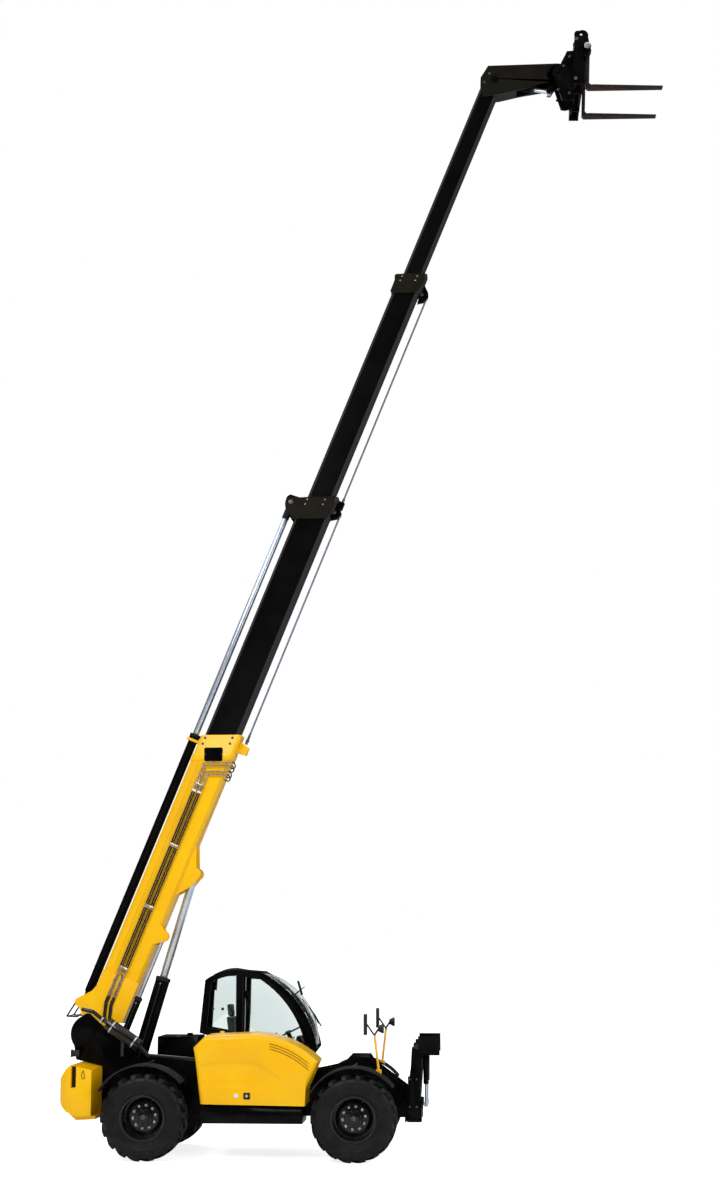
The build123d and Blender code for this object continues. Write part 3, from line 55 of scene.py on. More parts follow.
TYRE_R = REAR_AXLE.z
HALF_TRACK = REAR_AXLE.y
PIVOT = Vector(JOINT["boom_lift"]["pos_m"])
BOOM_WAY = Vector(JOINT["telescope_2"]["axis"]).normalized()
BOOM_DOWN = Vector((BOOM_WAY.z, 0, -BOOM_WAY.x))
HEAD = Vector(JOINT["fork_tilt"]["pos_m"])
DROOP = math.radians(2)
NEAR, FAR = -1, 1
SIDES = ((NEAR, "near"), (FAR, "far"))
AHEAD, UP = Vector((1, 0, 0)), Vector((0, 0, 1))
NEAR_WAY, FAR_WAY = Vector((0, -1, 0)), Vector((0, 1, 0))


def machine(x, y, z):
    """A point measured forward from the rear axle, left of the middle and up from the ground."""
    return Vector((REAR_AXLE.x + x, y, z))


def boom(u, y, n):
    """A point u along the boom from its pivot, y to the left and n towards its underside."""
    return PIVOT + BOOM_WAY * u + BOOM_DOWN * n + Vector((0, y, 0))


def head(dx, y, dz):
    """A point measured from the fork head's pivot."""
    return HEAD + Vector((dx, y, dz))


def carriage(dx, y, dz):
    """A point on the carriage, which hangs a little tips-down about the head's pivot."""
    c, s = math.cos(DROOP), math.sin(DROOP)
    return HEAD + Vector((dx * c + dz * s, y, dz * c - dx * s))


def flat(place, y, pairs):
    """Points at one y, from pairs that one of the placing functions above understands."""
    return [place(a, y, b) for a, b in pairs]


# ---- Materials
def new_node(tree, kind, inputs=(), operation=None, data_type=None):
    """A new node, each input given a value or another node's output."""
    made = tree.nodes.new("ShaderNode" + kind)
    if operation:
        made.operation = operation
    if data_type:
        made.data_type = data_type
    for socket, value in dict(inputs).items():
        if isinstance(value, bpy.types.NodeSocket):
            tree.links.new(value, made.inputs[socket])
        else:
            made.inputs[socket].default_value = value
    return made


class Shader:
    """A Principled material whose colour, roughness and bump come from noise in object space."""

    def __init__(self, name, colour, rough, metal=0.0, coat=0.0, spec=0.5):
        self.mat = bpy.data.materials.new(name)
        self.mat.use_nodes = True
        self.tree = self.mat.node_tree
        self.bsdf = self.tree.nodes["Principled BSDF"]
        for socket, value in (("Base Color", (*colour, 1)), ("Roughness", rough), ("Metallic", metal),
                              ("Coat Weight", coat), ("Coat Roughness", 0.08), ("Specular IOR Level", spec)):
            self.bsdf.inputs[socket].default_value = value
        self.place = self.node("TexCoord").outputs["Object"]

    def node(self, kind, inputs=(), operation=None, data_type=None):
        return new_node(self.tree, kind, inputs, operation, data_type)

    def drive(self, socket, output):
        self.tree.links.new(output, self.bsdf.inputs[socket])
        return self

    def calc(self, operation, a, b=0.0):
        return self.node("Math", {0: a, 1: b}, operation).outputs[0]

    def part(self, output, index):
        """One part of a place, a normal or a colour."""
        return self.node("SeparateXYZ", {0: output}).outputs[index]

    def span(self, value, low, high, start=0.0, end=1.0):
        """start to end as a value goes from low to high."""
        return self.node("MapRange", {"Value": value, "From Min": low, "From Max": high,
                                      "To Min": start, "To Max": end}).outputs["Result"]

    def noise(self, scale, detail=4):
        return self.node("TexNoise", {"Vector": self.place, "Scale": scale, "Detail": detail}).outputs["Fac"]

    def ramp(self, fac, low, high, start=0.35, end=0.65):
        ramp = self.node("ValToRGB", {"Fac": fac})
        for stop, place, colour in zip(ramp.color_ramp.elements, (start, end), (low, high)):
            stop.position, stop.color = place, (*colour, 1)
        return ramp.outputs["Color"]

    def vary_colour(self, scale, low, high):
        self.tint = self.ramp(self.noise(scale), low, high)
        return self.drive("Base Color", self.tint)

    def vary_rough(self, scale, low, high):
        return self.drive("Roughness", self.span(self.noise(scale), 0, 1, low, high))

    def bump(self, scale, strength):
        relief = self.node("Bump", {"Strength": strength, "Distance": 0.001, "Height": self.noise(scale, 3)})
        return self.drive("Normal", relief.outputs["Normal"])

    def blend_in(self, fac, colour):
        """Mix a colour over what the base colour is so far."""
        self.tint = self.node("Mix", {0: fac, 6: self.tint, 7: (*colour, 1)}, data_type="RGBA").outputs[2]
        return self.drive("Base Color", self.tint)

    def normal(self, index):
        return self.part(self.node("NewGeometry").outputs["True Normal"], index)

    def along(self, way, start, low, high):
        """0 to 1 as the distance from a point in one direction goes from low to high."""
        dot = self.node("VectorMath", {0: self.place, 1: way}, "DOT_PRODUCT").outputs["Value"]
        return self.span(self.calc("SUBTRACT", dot, way.dot(start)), low, high)

    def dusty(self, top, colour, amount):
        """Dust and splashes, thickest near the ground and gone at height top."""
        low = self.span(self.part(self.place, 2), 0, top, 1, 0)
        patches = self.part(self.ramp(self.noise(9, 6), (0, 0, 0), (1, 1, 1), 0.42, 0.68), 0)
        return self.blend_in(self.calc("MULTIPLY", self.calc("MULTIPLY", low, patches), amount), colour)


YELLOW = (1.0, 0.53, 0.002)
SOOT = (0.004, 0.004, 0.0045)
DUST = (0.16, 0.14, 0.115)
DARK, DARKER = (0.0015, 0.0015, 0.0018), (0.0012, 0.0012, 0.0013)
# name: colour, roughness, the shader's other values, then the noise of the tint (scale, dark, light), of the
# roughness (scale, low, high) and of the bump (scale, strength)
FINISHES = {
    "yellow_paint": (YELLOW, 0.3, {"coat": 0.12, "spec": 0.2},
        (1.7, (0.97, 0.505, 0.0015), (1.0, 0.555, 0.0025)), (14, 0.27, 0.4), (900, 0.04)),
    "black_paint": (DARK, 0.18, {"coat": 0.05, "spec": 0.02}, (3, DARK, SOOT), (12, 0.18, 0.3), (800, 0.05)),
    "axle_paint": ((0.005, 0.005, 0.005), 0.5, {"spec": 0.15},
        (9, (0.003, 0.003, 0.0035), (0.009, 0.0085, 0.008)), (20, 0.42, 0.68), (260, 0.25)),
    "rim_paint": ((0.003, 0.003, 0.004), 0.24, {"coat": 0.2, "spec": 0.3},
        (8, (0.002, 0.002, 0.003), (0.006, 0.006, 0.007)), (30, 0.2, 0.32), (700, 0.05)),
    "tyre_rubber": ((0.0045, 0.0045, 0.005), 0.5, {"spec": 0.22},
        (7, (0.0032, 0.0032, 0.0038), (0.0062, 0.006, 0.0068)), (40, 0.42, 0.56), (320, 0.2)),
    # the chrome's blue tint is a painted reflection of a blue sky
    "chromed_rod": ((0.6, 0.68, 0.8), 0.3, {"metal": 0.85},
        (5, (0.52, 0.61, 0.75), (0.66, 0.73, 0.83)), (30, 0.26, 0.34), None),
    "bare_steel": ((0.42, 0.37, 0.3), 0.32, {"metal": 0.8},
        (16, (0.24, 0.17, 0.11), (0.55, 0.5, 0.42)), (40, 0.26, 0.42), (500, 0.05)),
    # grey steel rope, its blue tint a painted reflection of a blue sky
    "wire_rope": ((0.17, 0.21, 0.28), 0.55, {"metal": 0.4},
        (30, (0.14, 0.175, 0.24), (0.2, 0.24, 0.31)), (90, 0.5, 0.6), None),
    "exhaust_steel": ((0.004, 0.004, 0.005), 0.22, {"coat": 0.35, "spec": 0.2},
        (12, (0.004, 0.004, 0.005), (0.009, 0.0085, 0.008)), (30, 0.2, 0.32), (200, 0.05)),
    "engine_iron": ((0.03, 0.03, 0.032), 0.7, {},
        (12, (0.02, 0.02, 0.021), (0.05, 0.048, 0.045)), (30, 0.6, 0.8), (140, 0.5)),
    "guard_plastic": ((0.01, 0.011, 0.013), 0.5, {"spec": 0.25},
        (10, (0.008, 0.0088, 0.0105), (0.013, 0.014, 0.0165)), (40, 0.42, 0.55), (600, 0.15)),
    "post_paint": ((0.93, 0.47, 0.004), 0.35, {"coat": 0.2},
        (6, (0.85, 0.41, 0.004), (0.97, 0.52, 0.006)), (30, 0.3, 0.45), (700, 0.06)),
    "seat_cloth": ((0.03, 0.03, 0.033), 0.9, {},
        (160, (0.018, 0.018, 0.02), (0.05, 0.05, 0.055)), (90, 0.82, 0.98), (900, 0.6)),
    "trim_plastic": ((0.016, 0.016, 0.017), 0.5, {"spec": 0.35},
        (14, (0.011, 0.011, 0.012), (0.022, 0.022, 0.024)), (50, 0.42, 0.58), (1100, 0.3)),
    "fork_steel": ((0.02, 0.012, 0.009), 0.45, {"spec": 0.2},
        (14, (0.01, 0.0055, 0.004), (0.03, 0.018, 0.014)), (30, 0.38, 0.6), (200, 0.2)),
    "cab_glass": ((0.88, 0.935, 0.927), 0.02, {"spec": 0.3},
        (2, (0.87, 0.93, 0.92), (0.89, 0.94, 0.934)), (6, 0.0, 0.02), None),
    "boom_black": (DARKER, 0.4, {"spec": 0.03},
        (3, DARKER, (0.0025, 0.0025, 0.0027)), (12, 0.4, 0.5), (800, 0.05)),
    # finishes of the added pieces
    "seam_paint": ((0.62, 0.29, 0.002), 0.4, {"spec": 0.2},
        (9, (0.55, 0.25, 0.002), (0.7, 0.33, 0.003)), (30, 0.35, 0.5), (500, 0.2)),
    "bright_steel": ((0.7, 0.7, 0.72), 0.3, {"metal": 1},
        (40, (0.5, 0.5, 0.52), (0.82, 0.82, 0.84)), (60, 0.22, 0.4), (900, 0.1)),
    "dull_steel": ((0.1, 0.095, 0.09), 0.5, {"metal": 0.6},
        (40, (0.05, 0.047, 0.045), (0.15, 0.145, 0.14)), (60, 0.36, 0.55), (700, 0.15)),
    "zinc_yellow": ((0.33, 0.25, 0.17), 0.4, {"metal": 0.7},
        (40, (0.24, 0.17, 0.11), (0.42, 0.34, 0.25)), (60, 0.3, 0.45), (800, 0.1)),
    "hose_rubber": ((0.012, 0.012, 0.013), 0.55, {"spec": 0.3},
        (30, (0.008, 0.008, 0.009), (0.02, 0.02, 0.021)), (50, 0.45, 0.65), (900, 0.25)),
    "seal_rubber": ((0.009, 0.009, 0.01), 0.7, {"spec": 0.2},
        (30, (0.006, 0.006, 0.007), (0.014, 0.014, 0.015)), (60, 0.6, 0.78), (800, 0.2)),
    "head_face": ((0.0085, 0.0075, 0.0045), 0.5, {"spec": 0.06},
        (4, (0.0072, 0.0062, 0.0038), (0.0105, 0.0092, 0.006)), (14, 0.42, 0.55), (700, 0.06)),
    "mirror_face": ((0.75, 0.78, 0.8), 0.04, {"metal": 1}, None, (5, 0.02, 0.06), (30, 0.01)),
    "lamp_lens": ((0.75, 0.78, 0.8), 0.12, {"spec": 0.6},
        (60, (0.6, 0.63, 0.66), (0.85, 0.87, 0.9)), (80, 0.08, 0.2), (220, 0.5)),
    "red_lens": ((0.5, 0.01, 0.008), 0.15, {},
        (60, (0.4, 0.006, 0.005), (0.62, 0.02, 0.015)), (60, 0.1, 0.25), (260, 0.5)),
    "amber_lens": ((0.9, 0.25, 0.01), 0.15, {},
        (60, (0.8, 0.18, 0.008), (0.95, 0.3, 0.015)), (60, 0.1, 0.25), (260, 0.5)),
    "white_plastic": ((0.8, 0.8, 0.78), 0.4, {},
        (20, (0.72, 0.72, 0.7), (0.86, 0.86, 0.84)), (40, 0.34, 0.5), (600, 0.1)),
}
# name: height the dust reaches, its colour and its strength
DUSTY = {"yellow_paint": (1.1, (0.5, 0.33, 0.06), 0.2), "black_paint": (1.1, DUST, 0.035),
         "axle_paint": (1.2, DUST, 0.12), "rim_paint": (1.1, DUST, 0.06), "tyre_rubber": (1.3, DUST, 0.045),
         "guard_plastic": (1.5, DUST, 0.07)}


def make_materials():
    made = {}
    for name, (colour, rough, more, tint, roughs, relief) in FINISHES.items():
        look = made[name] = Shader(name, colour, rough, **more).vary_rough(*roughs)
        if tint:
            look.vary_colour(*tint)
        if relief:
            look.bump(*relief)
        if name in DUSTY:
            look.dusty(*DUSTY[name])
    # the guard bar behind the boom's tail is black: what lies behind the tail plates' slanted edge
    yellow = made["yellow_paint"]
    edge, reach = boom(0.235, 0, -0.29), (BOOM_WAY * -0.16 - BOOM_DOWN * 0.135).normalized()
    behind = yellow.along(reach, edge, 0.022, 0.024)
    above = yellow.along(-BOOM_DOWN, boom(0, 0, -0.17), 0.0, 0.002)
    yellow.blend_in(yellow.calc("MULTIPLY", behind, above), SOOT)
    # the stems that carry the lamps and mirrors are black from the post's top up
    posts = made["post_paint"]
    posts.blend_in(posts.span(posts.part(posts.place, 2), 1.792, 1.796), SOOT)
    # the forks are grey on their upward faces
    forks = made["fork_steel"]
    forks.blend_in(forks.span(forks.normal(2), 0.7, 0.9), (0.16, 0.155, 0.15))
    # the black boom sections: sides near black, and a painted sheen: every face that doesn't face sideways, the
    # corner strips among them, is coloured a dark grey that stands in for the light they reflect
    paint = made["boom_black"]
    sideways = paint.calc("ABSOLUTE", paint.normal(1))
    paint.blend_in(paint.span(sideways, 0.9, 0.97, 1, 0), (0.034, 0.033, 0.034))
    glass = made["cab_glass"].bsdf.inputs
    glass["Transmission Weight"].default_value, glass["IOR"].default_value = 1, 1.1
    return {name: shader.mat for name, shader in made.items()}


MATS = make_materials()
SPECIAL = {"boom_section_2": "boom_black", "boom_section_3": "boom_black", "boom_section_4": "boom_black",
           "engine_block": "engine_iron"}


WELD, ROUNDING, ROUNDED_FROM = 0.00005, 0.004, math.radians(32)


def dress_cad():
    """Every CAD node gets its slot's material, rounded edges and smooth round faces."""
    slots = {p["node"]: p["material_slot"] for p in frame["record"]["subparts"]}
    for node, obj in frame["nodes"].items():
        obj.data.materials.clear()
        obj.data.materials.append(MATS[SPECIAL.get(node, slots[node])])
        obj.data.polygons.foreach_set("use_smooth", [True] * len(obj.data.polygons))
        weld = obj.modifiers.new("weld", "WELD")
        weld.merge_threshold = WELD
        bevel = obj.modifiers.new("bevel", "BEVEL")
        bevel.width, bevel.segments = ROUNDING, 2
        bevel.limit_method, bevel.angle_limit = "ANGLE", ROUNDED_FROM
        bevel.harden_normals = True
        bevel.use_clamp_overlap = True


# ---- Building pieces
def stand(name, data):
    """A new object in the scene."""
    obj = bpy.data.objects.new(name, data)
    bpy.context.scene.collection.objects.link(obj)
    return obj


def square_to(axis):
    """Two directions square to an axis and to each other."""
    axis = Vector(axis).normalized()
    a = axis.cross(UP if abs(axis.z) < 0.9 else AHEAD).normalized()
    return a, axis.cross(a)


class Kit:
    """Small parts of one finish on one body, gathered into one piece."""

    def __init__(self, name, body, look, slot=None):
        self.name, self.body, self.look, self.slot = name, body, look, slot
        self.verts, self.faces = [], []

    def add(self, verts, faces):
        base = len(self.verts)
        self.verts += [Vector(v) for v in verts]
        self.faces += [[base + i for i in face] for face in faces]
        return self

    def skin(self, verts, count):
        """A closed skin over rings of count points each that follow one another."""
        last = len(verts) - count
        faces = [list(range(count)), [last + j for j in range(count)]]
        for start in range(0, last, count):
            for j in range(count):
                i = (j + 1) % count
                faces.append([start + j, start + i, start + count + i, start + count + j])
        return self.add(verts, faces)

    def lathe(self, origin, axis, profile, count=24, turn=0.0, closed=False):
        """(along, radius) points turned about an axis. A radius of 0 closes an end."""
        origin, axis = Vector(origin), Vector(axis).normalized()
        a, b = square_to(axis)
        verts, rings = [], []
        for along, radius in profile:
            start = len(verts)
            if radius == 0:
                verts.append(origin + axis * along)
                rings.append([start] * count)
                continue
            for k in range(count):
                t = turn + 2 * math.pi * k / count
                verts.append(origin + axis * along + (a * math.cos(t) + b * math.sin(t)) * radius)
            rings.append([start + k for k in range(count)])
        faces = []
        for low, high in list(zip(rings, rings[1:])) + ([(rings[-1], rings[0])] if closed else []):
            for k in range(count):
                j = (k + 1) % count
                face = list(dict.fromkeys((low[k], low[j], high[j], high[k])))
                if len(face) > 2:
                    faces.append(face)
        return self.add(verts, faces)

    def bolt(self, point, axis, size, washer=True):
        """A hexagon head on a washer. size is the width of the head."""
        r, h = size / 2, size * 0.42
        t = size * 0.12 if washer else 0
        if washer:
            self.lathe(point, axis, [(0, 0), (0, r * 1.55), (t * 0.8, r * 1.55), (t, r * 1.48), (t, 0)], 20)
        top = t + h * 0.94
        hexagon = [(t, 0), (t, r * 1.1), (t + h * 0.8, r * 1.1), (t + h, r * 0.92), (top, r * 0.5), (top, 0)]
        return self.lathe(point, axis, hexagon, 6, turn=0.3)

    def bolts(self, points, axis, size):
        for point in points:
            self.bolt(point, axis, size)
        return self

    def round_head(self, point, axis, r, h):
        dome = [(0, 0), (0, r), (h * 0.5, r * 0.96), (h * 0.85, r * 0.72), (h, r * 0.3), (h, 0)]
        return self.lathe(point, axis, dome, 18)

    def pin(self, point, axis, radius, height, top, top_radius, count=24):
        """A pin's end, straight up to height and drawn in from there to its top."""
        return self.lathe(point, axis, [(0, radius), (height, radius), (top, top_radius), (top, 0)], count)

    def tube(self, points, radius, count=12, smooth=6):
        """A pipe or hose along a smooth line through the points."""
        path = through(points, smooth)
        verts = []
        side = square_to(path[1] - path[0])[0]
        for k, p in enumerate(path):
            way = (path[min(k + 1, len(path) - 1)] - path[max(k - 1, 0)]).normalized()
            side = (side - way * side.dot(way)).normalized()
            other = way.cross(side)
            for j in range(count):
                t = 2 * math.pi * j / count
                verts.append(p + (side * math.cos(t) + other * math.sin(t)) * radius)
        return self.skin(verts, count)

    def slab(self, loop, thick, edge=0.0):
        """A flat plate: a loop of points, thickened by a vector, its far face drawn in by edge."""
        thick = Vector(thick)
        n, way = len(loop), thick.normalized()
        inner = []
        for k, p in enumerate(loop):
            before, after = (p - loop[k - 1]).normalized(), (loop[(k + 1) % n] - p).normalized()
            side = way.cross(before) + way.cross(after)
            inner.append(side.normalized() / max(0.35, math.sqrt(max(0.1, (1 + before.dot(after)) / 2))))
        area = sum((loop[k] - loop[0]).cross(loop[(k + 1) % n] - loop[0]).dot(way) for k in range(n))
        draw = edge if area > 0 else -edge
        verts = loop + [p + thick - way * edge for p in loop]
        if edge:
            verts += [p + thick + s * draw for p, s in zip(loop, inner)]
        return self.skin(verts, n)

    def panel(self, centre, u, v, width, height, thick, corner, edge=0.0):
        """A rounded rectangle, width along u and height along v, thickened along u x v."""
        v = Vector(v).normalized()
        w, h, c = width / 2, height / 2, min(corner, width / 2.01, height / 2.01)
        loop = []
        for sx, sy, first in ((1, 1, 0), (-1, 1, 90), (-1, -1, 180), (1, -1, 270)):
            for k in range(5):
                t = math.radians(first + 22.5 * k)
                x, y = sx * (w - c) + c * math.cos(t), sy * (h - c) + c * math.sin(t)
                loop.append(centre + u * x + v * y)
        return self.slab(loop, u.cross(v).normalized() * thick, edge)

    def bar(self, path, normal, width, thick):
        """A flat strip that follows the points, width across its face and thick along the normal."""
        normal = Vector(normal).normalized()
        verts = []
        for k, p in enumerate(path):
            way = (path[min(k + 1, len(path) - 1)] - path[max(k - 1, 0)]).normalized()
            across = normal.cross(way).normalized() * width / 2
            verts += [p - across, p + across, p + across + normal * thick, p - across + normal * thick]
        return self.skin(verts, 4)

    def make(self, sharp=38):
        mesh = bpy.data.meshes.new(self.name)
        mesh.from_pydata([tuple(v) for v in self.verts], [], self.faces)
        shape = bmesh.new()
        shape.from_mesh(mesh)
        bmesh.ops.recalc_face_normals(shape, faces=shape.faces)
        for face in shape.faces:
            face.smooth = True
        for edge in shape.edges:
            edge.smooth = len(edge.link_faces) == 2 and edge.calc_face_angle(0) < math.radians(sharp)
        shape.to_mesh(mesh)
        shape.free()
        mesh.materials.append(MATS[self.look])
        obj = stand(self.name, mesh)
        if self.body:
            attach(obj, self.body)
        return obj


def through(points, steps):
    """Points along a smooth line through the given ones."""
    if len(points) < 3 or steps < 2:
        return points
    ends = [points[0] * 2 - points[1]] + points + [points[-1] * 2 - points[-2]]
    line = []
    for k in range(1, len(ends) - 2):
        p0, p1, p2, p3 = ends[k - 1:k + 3]
        for i in range(steps):
            t = i / steps
            line.append(0.5 * (2 * p1 + (p2 - p0) * t + (2 * p0 - 5 * p1 + 4 * p2 - p3) * t * t
                               + (3 * p1 - p0 - 3 * p2 + p3) * t ** 3))
    return line + [points[-1]]


def circle_through(a, b, c):
    """Centre and radius of the circle through three points."""
    (ax, az), (bx, bz), (cx, cz) = a, b, c
    d = 2 * (ax * (bz - cz) + bx * (cz - az) + cx * (az - bz))
    a2, b2, c2 = ax * ax + az * az, bx * bx + bz * bz, cx * cx + cz * cz
    x = (a2 * (bz - cz) + b2 * (cz - az) + c2 * (az - bz)) / d
    z = (a2 * (cx - bx) + b2 * (ax - cx) + c2 * (bx - ax)) / d
    return x, z, math.hypot(ax - x, az - z)


def arc_points(a, via, b, steps=14):
    """Points after a on the arc from a through via to b."""
    cx, cz, r = circle_through(a, via, b)
    start, mid, end = (math.atan2(p[1] - cz, p[0] - cx) for p in (a, via, b))
    while mid < start:
        mid += 2 * math.pi
    while end < mid:
        end += 2 * math.pi
    if end - start > 2 * math.pi:
        end -= 2 * math.pi
    turns = [start + (end - start) * k / steps for k in range(1, steps + 1)]
    return [(cx + r * math.cos(t), cz + r * math.sin(t)) for t in turns]


# ---- Wheels
# half of the casing's section, from the bead to the crown: out from the middle, radius
CASING = [(0.158, 0.312), (0.1665, 0.32), (0.1675, 0.338), (0.174, 0.35), (0.1745, 0.362), (0.1835, 0.392),
          (0.1925, 0.43), (0.1965, 0.452), (0.1995, 0.458), (0.1995, 0.466), (0.1965, 0.472), (0.195, 0.5),
          (0.187, 0.53), (0.174, 0.557), (0.152, 0.577), (0.115, 0.584), (0.06, 0.587), (0.0, 0.588)]
# a lug's top line: out from the middle, radius, degrees round the tyre
LUG_LINE = [(-0.012, 0.625, -13), (0.03, 0.625, -9.8), (0.075, 0.6248, -6.3), (0.118, 0.624, -2.8),
            (0.149, 0.621, 0), (0.166, 0.598, 0.8), (0.182, 0.556, 0.8), (0.193, 0.516, 0.4)]
FIRST_LUG, LUGS_A_SIDE = 283, 18
LUG_HALF, LUG_FOOT_R, LUG_CHAMFER = 2.95, 0.578, 0.00825
VALVE_TURN = math.degrees(1.1)


def tyre(corner, x, side):
    """A smooth casing with a bead bulge and a sidewall ridge, and slanted lugs with chamfered tops."""
    centre = Vector((x, side * HALF_TRACK, TYRE_R))
    kit = Kit("tread_" + corner, "wheel_" + corner, "tyre_rubber", "tyre_rubber")
    ring = CASING + [(-o, r) for o, r in CASING[-2::-1]]
    kit.lathe(centre, (0, side, 0), ring, 144, closed=True)

    def at(out, r, turn):
        t = math.radians(turn)
        return centre + Vector((r * math.cos(t), side * out, r * math.sin(t)))

    for k in range(LUGS_A_SIDE):
        for face, shift in ((1, 0), (-1, 10)):
            turn = FIRST_LUG + k * 360 / LUGS_A_SIDE + shift
            verts = []
            for i, (out, r, lead) in enumerate(LUG_LINE):
                half = LUG_HALF + (0.85 * min(1, max(0, (out - 0.03) / 0.12)) if i < 6 else 0.1)
                foot_out, foot_r = (out, LUG_FOOT_R) if i < 4 else (out - 0.02, min(0.576, r - 0.05))
                down_o, down_r = foot_out - out, foot_r - r
                step = LUG_CHAMFER / math.hypot(down_o, down_r)
                for across, drop in ((-1.14, 1), (-1.0, step), (-0.84, 0), (0.84, 0), (1.0, step), (1.14, 1)):
                    around = turn + lead + half * across
                    verts.append(at(face * (out + down_o * drop), r + down_r * drop, around))
            kit.skin(verts, 6)
    obj = kit.make(32)
    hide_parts("tyre_" + corner)
    # nuts, hub bolts, a plug in the hub and the valve
    way = Vector((0, side, 0))
    nuts = Kit("nuts_" + corner, "wheel_" + corner, "bright_steel")
    dull = Kit("hub_bolts_" + corner, "wheel_" + corner, "dull_steel")
    for k in range(10):
        p = at(0, 0.167, 36 * k + 9)
        nuts.lathe(p, way, [(0, 0.021), (0.004, 0.021), (0.006, 0.0165)], 20)
        nuts.lathe(p, way, [(0.004, 0.0172), (0.02, 0.0172), (0.024, 0.014), (0.024, 0.009)], 6, 0.3)
        nuts.lathe(p, way, [(0.01, 0.0095), (0.03, 0.0095), (0.032, 0.008), (0.032, 0)], 12)
    for k in range(8):
        dull.bolt(at(0.0615, 0.105, 45 * k + 20), way, 0.014, False)
    plug = [(0, 0.034), (0.003, 0.034), (0.005, 0.03), (0.005, 0.018), (0.002, 0.016), (0.002, 0)]
    dull.lathe(centre + way * 0.0915, way, plug, 24)
    valve = [(0, 0.008), (0.02, 0.008), (0.021, 0.005), (0.045, 0.005), (0.046, 0.007), (0.058, 0.007),
             (0.06, 0.005), (0.06, 0)]
    dull.lathe(at(-0.032, 0.27, VALVE_TURN), at(1, -0.25, VALVE_TURN) - centre, valve, 12)
    nuts.make()
    dull.make()


# ---- Chassis and hood
def hood_detail():
    cx, cz, r = circle_through((2.535, 1.425), (2.19, 1.668), (1.55, 1.82))
    # painted shade: dark strips on the slots' floors stand in for the shade inside the slots
    slots = Kit("hood_slot_shade", "hood", "seal_rubber")
    for drop in (0.1, 0.136, 0.172):
        places = [1.842 + 0.561 * k / 24 for k in range(25)]
        line = [(x, cz + math.sqrt((r - drop) ** 2 - (x - cx) ** 2)) for x in places]
        slots.bar(flat(machine, -1.1375, line), NEAR_WAY, 0.0125, 0.006)
    slots.make()
    for name, look, x, z, size, thick, corner, edge in (
            ("hood_catches", "seal_rubber", 1.512, 0.941, 0.093, 0.012, 0.008, 0.003),
            ("hood_reflector", "white_plastic", 1.361, 0.945, 0.057, 0.008, 0.006, 0.002)):
        plate = Kit(name, "hood", look)
        plate.panel(machine(x, -1.149, z), AHEAD, UP, size, size, thick, corner, edge).make()
    bright = Kit("hood_catch_bolts", "hood", "bright_steel")
    catch = [(0, 0.021), (0.003, 0.021), (0.006, 0.018), (0.006, 0.012), (0.003, 0.01), (0.003, 0)]
    bright.lathe(machine(1.512, -1.16, 0.941), NEAR_WAY, catch, 24)
    for x, z in ((1.02, 1.69), (1.6, 1.66)):
        bright.round_head(machine(x, -1.143, z), NEAR_WAY, 0.013, 0.006)
    bright.make()
    lid = Kit("hood_lid", "hood", "yellow_paint", "yellow_paint")
    lid.panel(machine(1.295, -1.149, 1.665), AHEAD, (0.03, 0, 1), 0.24, 0.1, 0.0045, 0.014, 0.002).make()


def chassis_detail():
    bolts = Kit("chassis_bolts", "chassis", "dull_steel")
    for side in (NEAR, FAR):
        spots = [(x, z) for x in (3.1, 3.35, -0.1, 0.15) for z in (0.8, 0.95)]
        bolts.bolts(flat(machine, side * 0.305, spots), (0, side, 0), 0.024)
    bolts.bolts([machine(-1.268, y, 1.02) for y in (-0.62, -0.22, 0.22, 0.62)], -AHEAD, 0.036).make()
    # the towing plate in the middle of the counterweight
    tow = Kit("tow_pin", "chassis", "dull_steel")
    tow.panel(machine(-1.262, 0, 0.86), NEAR_WAY, UP, 0.17, 0.13, 0.022, 0.02, 0.004).make()
    grip = Kit("boarding_grips", "chassis", "trim_plastic", "trim_plastic")
    for z in (0.61, 0.72):
        for k in range(7):
            grip.panel(machine(1.22 + 0.11 * k, 1.061, z), -AHEAD, UP, 0.07, 0.008, 0.004, 0.003, 0.001)
    grip.make()
    tank = Kit("tank_fittings", "chassis", "trim_plastic")
    tank.pin(machine(0.4, -0.56, 1.746), UP, 0.038, 0.012, 0.016, 0.034).make()
    # two clamps round the silencer, and a collar on its tail pipe
    pipe = Kit("exhaust_clamps", "chassis", "bright_steel")
    elbow, tail, front = (machine(x, -0.6, z) for x, z in ((-1.04, 2.15), (-0.65, 1.94), (-0.17, 1.61)))
    way, out = (front - tail).normalized(), (elbow - tail).normalized()
    for share in (0.16, 0.84):
        p = tail + (front - tail) * share
        pipe.lathe(p - way * 0.011, way, [(0, 0.1), (0, 0.1035), (0.022, 0.1035), (0.022, 0.1)], 40)
        pipe.bolt(p + NEAR_WAY * 0.108, UP, 0.012, False)
    pipe.lathe(tail + out * 0.085, out, [(0, 0.044), (0, 0.0535), (0.02, 0.0535), (0.02, 0.044)], 32)
    pipe.make()
    # painted shade: dark panels on the floors of the counterweight's side slots stand in for the shade in these
    # recesses; and the hitch pin's lanyard beside one
    slot = Kit("counterweight_slot_shade", "chassis", "seal_rubber")
    for side in (NEAR, FAR):
        slot.panel(machine(-1.045, side * 0.9705, 1.19), -side * AHEAD, UP, 0.07, 0.3, 0.002, 0.002)
    slot.make()
    loop = [(-0.9, -1.044, 1.285), (-0.925, -1.045, 1.22), (-0.905, -1.045, 1.165), (-0.875, -1.045, 1.19),
            (-0.885, -1.045, 1.24), (-0.898, -1.044, 1.285)]
    Kit("lanyard", "chassis", "seal_rubber").tube([machine(*p) for p in loop], 0.0035, 8, 8).make()


def tower_detail():
    """The caps of the boom's and the rams' pivot pins on the chassis tower."""
    caps = Kit("pivot_caps", "chassis", "dull_steel")
    for side in (NEAR, FAR):
        for x, z, r in ((-1.0, 1.85, 0.036), (-0.68, 1.28, 0.024), (-0.38, 1.05, 0.04)):
            cap = [(0, r), (0.005, r), (0.009, r * 0.9), (0.009, r * 0.42), (0.005, r * 0.38), (0.005, 0)]
            caps.lathe(machine(x, side * 0.31, z), (0, side, 0), cap, 32)
    caps.make()


